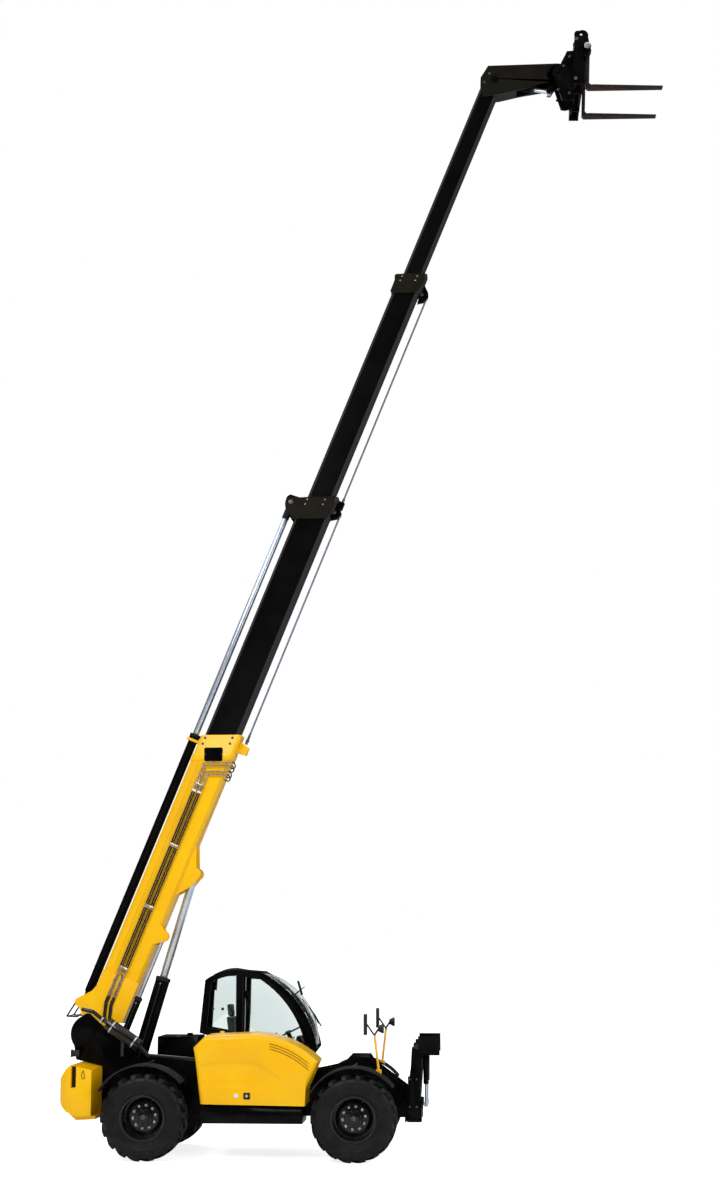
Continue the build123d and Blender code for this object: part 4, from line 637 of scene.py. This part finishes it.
# ---- Lamps and mirrors
def lamp_detail():
    glass = Kit("mirror_faces", "chassis", "mirror_face")
    rims = Kit("mirror_rims", "chassis", "trim_plastic", "trim_plastic")
    lens = Kit("headlamp_lenses", "chassis", "lamp_lens")
    ring = Kit("headlamp_rings", "chassis", "bright_steel")
    corners = [(-0.082, -0.144), (0.082, -0.144), (0.082, 0.144), (-0.082, 0.144)]
    for side, x, z in ((NEAR, 3.34, 1.8), (FAR, 3.43, 1.82)):
        face = machine(x - 0.152, side * 0.88, z + 0.15)
        glass.panel(face + AHEAD * 0.0005, NEAR_WAY, UP, 0.152, 0.272, 0.0015, 0.02)
        for a, b in zip(corners, corners[1:] + corners[:1]):
            rims.bar([face + Vector((0.001, *a)), face + Vector((0.001, *b))], -AHEAD, 0.009, 0.004)
        cup = machine(x + 0.13, side * 0.86, z + 0.09)
        lens.lathe(cup, AHEAD, [(-0.03, 0), (-0.028, 0.05), (-0.004, 0.058), (0.003, 0.058), (0.003, 0)], 40)
        ring.lathe(cup, AHEAD, [(0, 0.0585), (0.004, 0.0585), (0.004, 0.066), (0, 0.066)], 40, closed=True)
    for kit in (glass, rims, lens, ring):
        kit.make()
    for colour, look, y in (("red", "red_lens", 0.33), ("amber", "amber_lens", 0.385),
                            ("white", "lamp_lens", 0.357)):
        kit = Kit("rear_lamps_" + colour, "chassis", look)
        for side in (NEAR, FAR):
            kit.panel(machine(-1.2385, side * y, 1.485), NEAR_WAY, UP, 0.024, 0.082, 0.001, 0.004)
        kit.make()


# ---- Cab
def rim(kit, y, outline, normal, width, thick):
    """A strip round a closed outline in the cab's side."""
    kit.bar(flat(machine, y, outline + outline[:1]), normal, width, thick)
    return kit


def cab_detail():
    seals = Kit("window_seals", "chassis", "seal_rubber")
    front = [(1.24, 1.74), (2.225, 1.56)] + arc_points((2.225, 1.56), (1.99, 2.12), (1.51, 2.585)) \
        + [(1.24, 2.615)]
    rear = [(0.68, 1.83), (1.15, 1.755), (1.15, 2.63)] + arc_points((1.15, 2.63), (0.9, 2.6), (0.75, 2.52))
    for outline in (front, rear):
        rim(seals, 0.3595, outline, NEAR_WAY, 0.022, 0.007)
    seals.make()
    # wiper arm and blade on the windscreen
    trim = Kit("cab_trim", "chassis", "trim_plastic", "trim_plastic")
    trim.tube([machine(2.1, 0.99, 2.26), machine(2.262, 0.9, 2.08), machine(2.375, 0.8, 1.88)], 0.007)
    trim.bar([machine(2.235, 0.66, 2.135), machine(2.315, 0.82, 2.0), machine(2.395, 0.98, 1.83)],
             (0.85, 0, 0.5), 0.014, 0.02).make()
    arm = Kit("cab_mirror_arm", "chassis", "trim_plastic", "trim_plastic")
    foot, elbow = machine(2.02, 0.395, 2.3), machine(2.135, 0.375, 2.41)
    arm.tube([foot, machine(2.07, 0.388, 2.36), elbow], 0.011)
    arm.tube([elbow, machine(2.2, 0.36, 2.46)], 0.008)
    arm.lathe(foot, (0.6, 0, 0.8), [(-0.01, 0), (-0.01, 0.026), (0.014, 0.024), (0.02, 0.014), (0.02, 0)], 20)
    arm.panel(machine(2.118, 0.37, 2.44), FAR_WAY, (-0.3, 0, 1), 0.17, 0.23, 0.022, 0.03, 0.008).make()
    # steering wheel's hub and knob
    inside = Kit("cab_inside", "chassis", "trim_plastic", "trim_plastic")
    hub = machine(1.9, 0.76, 1.74)
    way = Vector((-0.16, 0, 0.34)).normalized()
    inside.lathe(hub - way * 0.01, way, [(0, 0.05), (0.03, 0.046), (0.042, 0.03), (0.045, 0)], 24)
    knob = [(0, 0.008), (0.03, 0.009), (0.035, 0.024), (0.06, 0.026), (0.07, 0.016), (0.073, 0)]
    inside.lathe(hub + Vector((way.z, 0, -way.x)) * -0.175 + way * 0.012, way, knob, 18)
    # instrument pod, switch stalks, side console with levers, and the rear window's handles
    pod = [(2.02, 1.56), (2.16, 1.56), (2.1, 1.69), (2.05, 1.69)]
    inside.slab(flat(machine, 0.6, pod), (0, 0.32, 0), 0.012)
    for y in (0.6, 0.92):
        tip = machine(1.97, y, 1.66)
        inside.tube([machine(1.99, 0.76, 1.6), tip], 0.006)
        inside.round_head(tip, FAR_WAY, 0.011, 0.02)
    for x in (1.27, 1.36, 1.45):
        inside.tube(flat(machine, 0.47, [(x, 1.47), (x + 0.01, 1.56), (x + 0.025, 1.64)]), 0.007)
        grip = [(0, 0.01), (0.02, 0.022), (0.04, 0.022), (0.052, 0.012), (0.054, 0)]
        inside.lathe(machine(x + 0.026, 0.47, 1.635), (0.1, 0, 1), grip, 16)
    side_box = [(1.16, 1.18), (1.62, 1.18), (1.6, 1.475), (1.18, 1.49)]
    inside.slab(flat(machine, 0.43, side_box), (0, 0.085, 0), 0.015)
    for x in (0.78, 0.93):
        handle = [(0, 0.012), (0.03, 0.01), (0.032, 0.024), (0.05, 0.022), (0.052, 0)]
        inside.lathe(machine(x, 0.42, 2.12), NEAR_WAY, handle, 16)
    inside.make()
    screen = Kit("dash_screen", "chassis", "seal_rubber")
    screen.panel(machine(2.165, 0.75, 1.595), AHEAD, FAR_WAY, 0.09, 0.5, 0.006, 0.02, 0.002).make()
    door = Kit("door_handle", "cab_door", "trim_plastic", "trim_plastic")
    door.panel(machine(2.13, 1.164, 1.37), -AHEAD, UP, 0.14, 0.07, 0.012, 0.02, 0.004)
    pull = ((2.08, 1.176), (2.1, 1.196), (2.15, 1.196), (2.17, 1.176))
    door.tube([machine(x, y, 1.37) for x, y in pull], 0.008)
    edge = [(1.27, 1.48), (2.2, 1.48)] + arc_points((2.2, 1.48), (1.945, 2.07), (1.475, 2.52)) \
        + [(1.27, 2.535)]
    rim(door, 1.1655, edge, FAR_WAY, 0.02, 0.004).make()


SEAM_HALF_WIDTH = 0.012


def soft_box(name, low, high, seams, lean=0.0):
    """A stuffed pad: a box with well rounded edges, leaning forward to its top, with seams pressed in.

    A seam is (axis it stands across, place on it, depth)."""
    shape = bmesh.new()
    bmesh.ops.create_cube(shape, size=1)
    bmesh.ops.subdivide_edges(shape, edges=shape.edges[:], cuts=17, use_grid_fill=True)
    size = [high[i] - low[i] for i in range(3)]
    middle = machine(*((low[i] + high[i]) / 2 for i in range(3)))
    r = min(size) * 0.3
    for vert in shape.verts:
        p = Vector([vert.co[i] * size[i] for i in range(3)])
        core = Vector([max(r - size[i] / 2, min(size[i] / 2 - r, p[i])) for i in range(3)])
        away = p - core
        on_skin = max(abs(a) for a in away) >= r * 0.999
        q = core + (away.normalized() * r if on_skin else away)
        ends = [abs(q[i]) / (size[i] / 2) for i in range(3)]
        inset = 0.0
        for axis, place, depth in seams:
            gap = abs(q[axis] - place) / SEAM_HALF_WIDTH
            if gap < 1 and max(e for i, e in enumerate(ends) if i != axis) > 0.9:
                inset = max(inset, depth * (1 - gap))
        q -= Vector([0 if ends[i] < 0.96 else math.copysign(1, q[i]) for i in range(3)]) * inset
        vert.co = q + middle + AHEAD * (lean * (q.z / size[2] + 0.5))
    bmesh.ops.recalc_face_normals(shape, faces=shape.faces)
    mesh = bpy.data.meshes.new(name)
    shape.to_mesh(mesh)
    shape.free()
    mesh.polygons.foreach_set("use_smooth", [True] * len(mesh.polygons))
    mesh.materials.append(MATS["seat_cloth"])
    obj = stand(name, mesh)
    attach(obj, "chassis")
    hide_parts("seat")


def seat_detail():
    seams = [(1, -0.16, 0.007), (1, 0.16, 0.007), (0, 0.05, 0.006)]
    soft_box("seat_cushion", (1.042, 0.522, 1.293), (1.538, 0.998, 1.399), seams)
    for y, name in ((0.522, "seat_roll_near"), (0.932, "seat_roll_far")):
        soft_box(name, (1.062, y, 1.36), (1.528, y + 0.066, 1.429), [])
    back = [(1, -0.15, 0.007), (1, 0.15, 0.007), (2, 0, 0.006), (2, -0.16, 0.006)]
    soft_box("seat_back", (1.043, 0.532, 1.402), (1.137, 0.988, 1.998), back, -0.078)
    soft_box("head_rest", (0.974, 0.642, 2.002), (1.048, 0.878, 2.178), [(1, 0, 0.005)], -0.018)
    # the pleated bellows under the cushion
    base = Kit("seat_base", "chassis", "seal_rubber", "trim_plastic")
    pleats, pitch = 17, 0.021
    for k in range(pleats):
        draw = 0.014 * (k % 2)
        x0, x1, y0, y1, z = 1.082 + draw, 1.498 - draw, 0.602 + draw, 0.918 - draw, 0.935 + k * pitch
        base.slab([machine(x0, y0, z), machine(x1, y0, z), machine(x1, y1, z), machine(x0, y1, z)],
                  (0, 0, pitch - 0.001), 0.004)
    obj = base.make()
    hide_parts("seat")


# ---- Boom
# the four pipes on section 1: place across the boom, end along it, and reach of the hose at the tail
PIPES = [(0.07, 4.37, 0.05), (0.1, 4.325, 0.07), (0.155, 4.25, 0.09), (0.185, 4.21, 0.12)]
PIPE_Y = -0.247


def boom_detail():
    for side, tag in SIDES:
        way = Vector((0, side, 0))
        y = side * 0.21
        bolts = Kit("boom_1_bolts_" + tag, "boom_1", "dull_steel")
        spots = [(4.725, -0.072), (4.629, -0.072), (4.882, 0.32), (4.786, 0.32)]
        bolts.bolts(flat(boom, y, spots), way, 0.026)
        cap = [(0, 0.046), (0.006, 0.046), (0.012, 0.04), (0.012, 0.016), (0.008, 0.014), (0.008, 0)]
        bolts.lathe(boom(0, side * 0.26, 0), way, cap, 32)
        bolts.make()
        cover = Kit("boom_1_cover_" + tag, "boom_1", "black_paint", "black_paint")
        cover.panel(boom(4.537, y, 0.146), -side * AHEAD, UP, 0.282, 0.209, 0.0125, 0.024, 0.003).make()
        screws = Kit("boom_1_cover_screws_" + tag, "boom_1", "dull_steel")
        for dx in (-0.126, 0.126):
            screws.round_head(boom(4.537, y + side * 0.0125, 0.146) + AHEAD * dx, way, 0.009, 0.005)
        screws.make()
    seam = Kit("boom_1_seams", "boom_1", "seam_paint", "yellow_paint")
    for side in (NEAR, FAR):
        seam.bar(flat(boom, side * 0.2098, [(0.95, -0.022), (4.37, -0.022)]), (0, side, 0), 0.005, 0.0012)
    seam.make()
    clamps = Kit("pipe_clamps", "boom_1", "white_plastic")
    for n in (0.085, 0.17):
        clamp = [(3.9, n - 0.032), (3.9, n + 0.032), (3.934, n + 0.032), (3.934, n - 0.032)]
        clamps.slab(flat(boom, -0.2345, clamp), (0, -0.026, 0), 0.005)
    clamps.make()
    # sleeves and tail fittings on the pipes, their hoses down towards the tower, and at the pipes' other end
    # the fittings on the boom's underside with the hoses that feed them
    sleeves = Kit("pipe_sleeves", "boom_1", "hose_rubber")
    fittings = Kit("pipe_fittings", "boom_1", "zinc_yellow")
    tails = Kit("tail_hoses", "boom_1", "hose_rubber")
    ends = Kit("head_fittings", "boom_1", "zinc_yellow")
    small = Kit("head_hoses", "boom_1", "hose_rubber")
    for n, u_end, reach in PIPES:
        for u0, u1 in ((3.05, 3.89), (2.05, 2.99), (1.05, 1.99)):
            sleeves.tube(flat(boom, PIPE_Y, [(u0, n), (u1, n)]), 0.0118, 12, 1)
        nut = [(-0.05, 0), (-0.05, 0.012), (0, 0.012), (0, 0.015), (0.03, 0.015), (0.03, 0.0108),
               (0.05, 0.0108)]
        fittings.lathe(boom(0.6, PIPE_Y, n), BOOM_WAY, nut, 6)
        tails.tube([boom(0.56, PIPE_Y, n), boom(0.45, PIPE_Y, n), boom(0.34, -0.246, n + 0.03),
                    boom(0.22, -0.244, n + 0.07), boom(0.12 + reach, -0.242, n + 0.14)], 0.0125, 12, 8)
        p = boom(u_end + 0.4 * (0.43 - n), PIPE_Y, 0.43)
        stub = [(0, 0), (0, 0.015), (0.028, 0.015), (0.03, 0.012), (0.05, 0.012), (0.05, 0)]
        ends.lathe(p - AHEAD * 0.01, AHEAD, stub, 6)
        bend = [(0.035, 0, 0), (0.07, 0.004, -0.01), (0.085, 0.03, -0.06), (0.05, 0.09, -0.09),
                (-0.01, 0.12, -0.07)]
        small.tube([p + Vector(step) for step in bend], 0.01, 10, 8)
    for kit in (sleeves, fittings, tails, ends, small):
        kit.make()
    gland = Kit("extension_gland", "boom_1", "seal_rubber")
    ring = [(0, 0.082), (0.004, 0.085), (0.034, 0.085), (0.038, 0.08), (0.038, 0.0515), (0, 0.0515)]
    gland.lathe(boom(4.695, 0, -0.27), BOOM_WAY, ring, 40, closed=True).make()
    sleeve = Kit("rod_sleeve", "boom_2", "seal_rubber")
    cuff = [(0, 0.0505), (0, 0.056), (0.1, 0.057), (0.19, 0.058), (0.19, 0.0505)]
    sleeve.lathe(boom(8.4, 0, -0.27), BOOM_WAY, cuff, 32).make()


def section_heads():
    """Side plates of the second and third sections' heads, with their bolts and pins."""
    two = [(-0.505, -0.004), (-0.535, -0.045), (-0.546, -0.1), (-0.54, -0.165), (-0.424, -0.349),
           (0.104, -0.349), (0.185, -0.22), (0.232, -0.12), (0.222, -0.05), (0.196, -0.004)]
    three = [(-0.262, -0.004), (-0.285, -0.03), (-0.285, -0.1), (-0.355, -0.285), (-0.33, -0.318),
             (0.04, -0.318), (0.12, -0.235), (0.19, -0.11), (0.185, -0.03), (0.165, -0.004)]
    two_bolts = [(-0.197, -0.043), (-0.23, -0.115), (0.081, -0.05), (0.05, -0.127)]
    three_bolts = [(-0.165, -0.045), (-0.195, -0.115), (0.075, -0.05), (0.045, -0.12)]
    thick = 0.011
    for body, u_end, half, outline, spots in (("boom_2", 8.89, 0.185, two, two_bolts),
                                              ("boom_3", 12.79, 0.148, three, three_bolts)):
        def at_head(dx, y, dz):
            return boom(u_end, y, 0.14) + Vector((dx, 0, dz))

        for side, tag in SIDES:
            way = Vector((0, side, 0))
            plate = Kit(f"{body}_side_{tag}", body, "head_face", "black_paint")
            plate.slab(flat(at_head, side * half, outline), way * thick, 0.002).make()
            bolts = Kit(f"{body}_bolts_{tag}", body, "zinc_yellow")
            bolts.bolts(flat(at_head, side * (half + thick), spots), way, 0.017).make()
            if body == "boom_2":
                pins = Kit("boom_2_pins_" + tag, body, "dull_steel")
                pins.pin(at_head(-0.455, side * (half + thick), -0.075), way, 0.038, 0.008, 0.014, 0.03, 28)
                pins.pin(boom(8.77, side * 0.05, 0.42), way, 0.03, 0.012, 0.016, 0.024).make()
    pulley = Kit("boom_3_pulley_pin", "boom_3", "dull_steel")
    for y, way in ((0.062, -1), (0.14, 1)):
        pulley.pin(boom(12.59, y, 0.37), (0, way, 0), 0.026, 0.01, 0.014, 0.02)
    pulley.make()


def rope(name, u0, u1, n, y, node):
    """Strands laid in a spiral."""
    step, lay, count = 0.0125, 0.16, 18
    core, ridge = 0.0145, 0.001
    rings = int((u1 - u0) / step)
    verts = []
    first, other = square_to(BOOM_WAY)
    for k in range(rings + 1):
        centre = boom(u0 + (u1 - u0) * k / rings, y, n)
        twist = 2 * math.pi * k * step / lay
        for j in range(count):
            t = 2 * math.pi * j / count
            r = core + ridge * math.cos(6 * (t - twist))
            verts.append(centre + (first * math.cos(t) + other * math.sin(t)) * r)
    obj = Kit(name, None, "wire_rope", "wire_rope").skin(verts, count).make(50)
    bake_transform(obj)
    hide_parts(node)


def ropes():
    rope("rope_2", 4.885, 8.765, 0.52, 0.0, "cable_2")
    rope("rope_3", 8.998, 12.585, 0.46, 0.1, "cable_3")
    # the ends stay clear of the pulleys that come down to them as the sections slide in
    long_end = [(0, 0.022), (0.04, 0.022), (0.045, 0.027), (0.08, 0.027), (0.085, 0.02), (0.185, 0.0165),
                (0.185, 0)]
    short_end = [(0, 0.019), (0.02, 0.019), (0.023, 0.0215), (0.05, 0.0215), (0.07, 0.0162), (0.07, 0)]
    for body, place, shape in (("boom_1", boom(4.875, 0, 0.52), long_end),
                               ("boom_2", boom(8.99, 0.1, 0.46), short_end)):
        Kit("rope_end_" + body, body, "dull_steel").lathe(place, BOOM_WAY, shape, 20).make()


def carriage_detail():
    bright = Kit("fork_bar_ends", "carriage", "bright_steel")
    bolts = Kit("carriage_bolts", "carriage", "dull_steel")
    for side, tag in SIDES:
        way = Vector((0, side, 0))
        bar_end = [(0, 0.046), (0.002, 0.05), (0.008, 0.05), (0.01, 0.046), (0.01, 0.03), (0.006, 0.028),
                   (0.006, 0)]
        bright.lathe(carriage(0.44, side * 0.634, 0.18), way, bar_end, 36)
        for dz in (0.31, -0.35):
            bolts.pin(carriage(0.27, side * 0.604, dz), way, 0.026, 0.006, 0.01, 0.02)
        spots = [(0.1, 0.1), (0.19, 0.26), (0.2, -0.36), (0.02, -0.3)]
        bolts.bolts(flat(carriage, side * 0.174, spots), way, 0.028)
        plate = Kit("head_bolts_" + tag, "boom_4", "dull_steel")
        plate.bolts(flat(head, side * 0.134, [(-1.08, 0.031), (-1.165, -0.115)]), way, 0.026).make()
        face = Kit("head_side_" + tag, "boom_4", "head_face", "black_paint")
        edge = [(-1.098, 0.16), (-0.022, 0.16)] \
            + arc_points((-0.022, 0.16), (0.138, 0.062), (0.145, -0.04)) \
            + arc_points((0.145, -0.04), (0.076, -0.134), (-0.062, -0.133)) \
            + [(-0.93, -0.315), (-1.186, -0.335), (-1.225, -0.16), (-1.22, -0.035)]
        face.slab(flat(head, side * 0.13, edge), way * 0.004, 0.001).make()
        studs = Kit("hitch_studs_" + tag, "carriage", "bright_steel")
        for k in range(9):
            studs.round_head(carriage(0.262, side * 0.174, -0.13 + 0.043 * k), way, 0.008, 0.005)
        studs.make()
    bright.make()
    bolts.make()
    hose = Kit("tilt_hoses", "boom_4", "hose_rubber")
    for y in (-0.055, 0.055):
        line = flat(head, y, [(-0.86, 0.1), (-0.7, 0.085), (-0.55, 0.03)]) + [head(-0.43, y * 0.8, -0.03)]
        hose.tube(line, 0.012, 10, 8)
    hose.make()
    couplers = Kit("quick_couplers", "boom_4", "bright_steel")
    for y in (-0.06, 0.0, 0.06):
        body = [(0, 0.013), (0.03, 0.013), (0.03, 0.018), (0.06, 0.018), (0.06, 0.012), (0.075, 0.012),
                (0.075, 0)]
        couplers.lathe(head(-0.13, y, 0.152), AHEAD, body, 16)
    couplers.make()


def cylinder_detail():
    """Glands, unions and pipes on the rams' barrels, and bolts on the stabilisers' legs."""
    lift = (machine(-0.38, 0, 1.05), boom(2.75, 0, 0.548))
    level = (machine(-0.68, -0.155, 1.28), boom(1.705, -0.155, 0.502))
    tilt = (head(-1.0, 0, -0.07), head(-0.13, 0, -0.25))
    for name, (a, b), r, length, rod in (("lift_barrel", lift, 0.108, 1.62, 0.06),
                                         ("level_barrel", level, 0.052, 1.11, 0.032),
                                         ("tilt_barrel", tilt, 0.058, 0.64, 0.034)):
        way = (b - a).normalized()
        gland = Kit(name + "_gland", name, "seal_rubber")
        gland.lathe(a + way * (length - 0.05), way,
                    [(0, r), (0.003, r + 0.006), (0.04, r + 0.006), (0.052, r - 0.004), (0.054, rod + 0.004),
                     (0.03, rod + 0.002)], 40).make()
        line = [a + way * u + NEAR_WAY * (r + 0.012) for u in (0.16, length * 0.5, length - 0.1)]
        Kit(name + "_pipe", name, "hose_rubber").tube(line, 0.009, 10, 4).make()
        unions = Kit(name + "_unions", name, "zinc_yellow")
        for u in (0.14, length - 0.09):
            nut = [(-0.01, 0.016), (0.018, 0.016), (0.018, 0.013), (0.034, 0.013), (0.034, 0)]
            unions.lathe(a + way * u + NEAR_WAY * r, NEAR_WAY, nut, 6)
        unions.make()
    for side, tag in ((FAR, "left"), (NEAR, "right")):
        bolts = Kit("stabiliser_bolts_" + tag, "stabiliser_" + tag, "dull_steel")
        spots = [(x, z) for z in (0.74, 1.14) for x in (3.835, 3.94)]
        bolts.bolts(flat(machine, side * 0.505, spots), (0, side, 0), 0.018).make()


# ---- Studio and camera
def studio():
    half = 200
    mesh = bpy.data.meshes.new("floor")
    corners = [(-half, -half, 0), (half, -half, 0), (half, half, 0), (-half, half, 0)]
    mesh.from_pydata(corners, [], [(0, 1, 2, 3)])
    look = Shader("floor", (0.9, 0.9, 0.9), 0.95, spec=0.0).bump(20, 0.02)
    # the floor glows white to the eye and less through glass
    path = look.node("LightPath").outputs
    direct = look.calc("MULTIPLY", path["Is Camera Ray"], 0.8)
    level = look.node("Math", {0: path["Is Transmission Ray"], 1: 0.42, 2: direct}, "MULTIPLY_ADD")
    glow = look.node("Emission", {"Strength": level.outputs[0]})
    both = look.node("AddShader", {0: look.bsdf.outputs[0], 1: glow.outputs[0]})
    look.tree.links.new(both.outputs[0], look.tree.nodes["Material Output"].inputs["Surface"])
    mesh.materials.append(look.mat)
    floor = stand("floor", mesh)
    world = bpy.data.worlds.new("studio")
    bpy.context.scene.world = world
    world.use_nodes = True
    tree = world.node_tree
    path = new_node(tree, "LightPath").outputs
    seen = new_node(tree, "Math", {0: path["Is Camera Ray"], 1: path["Is Transmission Ray"]}, "MAXIMUM")
    # mirrored light: dark round the sides, bright overhead
    height = new_node(tree, "SeparateXYZ", {0: new_node(tree, "TexCoord").outputs["Generated"]}).outputs[2]
    sky = new_node(tree, "MapRange", {"Value": height, "From Min": 0.35, "From Max": 0.9,
                                      "To Min": 0.06, "To Max": 1.3})
    soft = new_node(tree, "Mix", {0: path["Is Glossy Ray"], 2: 0.5, 3: sky.outputs["Result"]})
    level = new_node(tree, "Mix", {0: seen.outputs[0], 2: soft.outputs[0], 3: 1.0})
    back = tree.nodes["Background"].inputs
    back["Color"].default_value = (1, 1, 1, 1)
    tree.links.new(level.outputs[0], back["Strength"])
    for name, place, width, power in (("key", (-9, -16, 17), 10, 1950), ("side", (14, -12, 9), 8, 950),
                                      ("rear", (-6, 16, 18), 10, 800)):
        data = bpy.data.lights.new(name, "AREA")
        data.shape, data.size, data.energy = "DISK", width, power
        lamp = stand(name, data)
        lamp.location = place
        lamp.rotation_euler = (UP * 4 - lamp.location).to_track_quat("-Z", "Y").to_euler()


def camera():
    data = bpy.data.cameras.new("camera")
    data.lens, data.sensor_width = 49.14, 36
    data.shift_y = 0.1195
    data.clip_end = 400
    cam = stand("camera", data)
    cam.location = machine(4.604, -25.0, 3.104)
    pitch, turn = 0.1222, 0.0629
    cam.rotation_euler = (math.pi / 2 + pitch, 0, turn)
    bpy.context.scene.camera = cam


dress_cad()
for end, axle in (("rear", REAR_AXLE), ("front", FRONT_AXLE)):
    for hand, side in (("left", FAR), ("right", NEAR)):
        tyre(f"{end}_{hand}", axle.x, side)
hood_detail()
chassis_detail()
tower_detail()
lamp_detail()
cab_detail()
seat_detail()
boom_detail()
section_heads()
ropes()
carriage_detail()
cylinder_detail()
studio()
camera()
bpy.context.scene.view_settings.view_transform = "Standard"
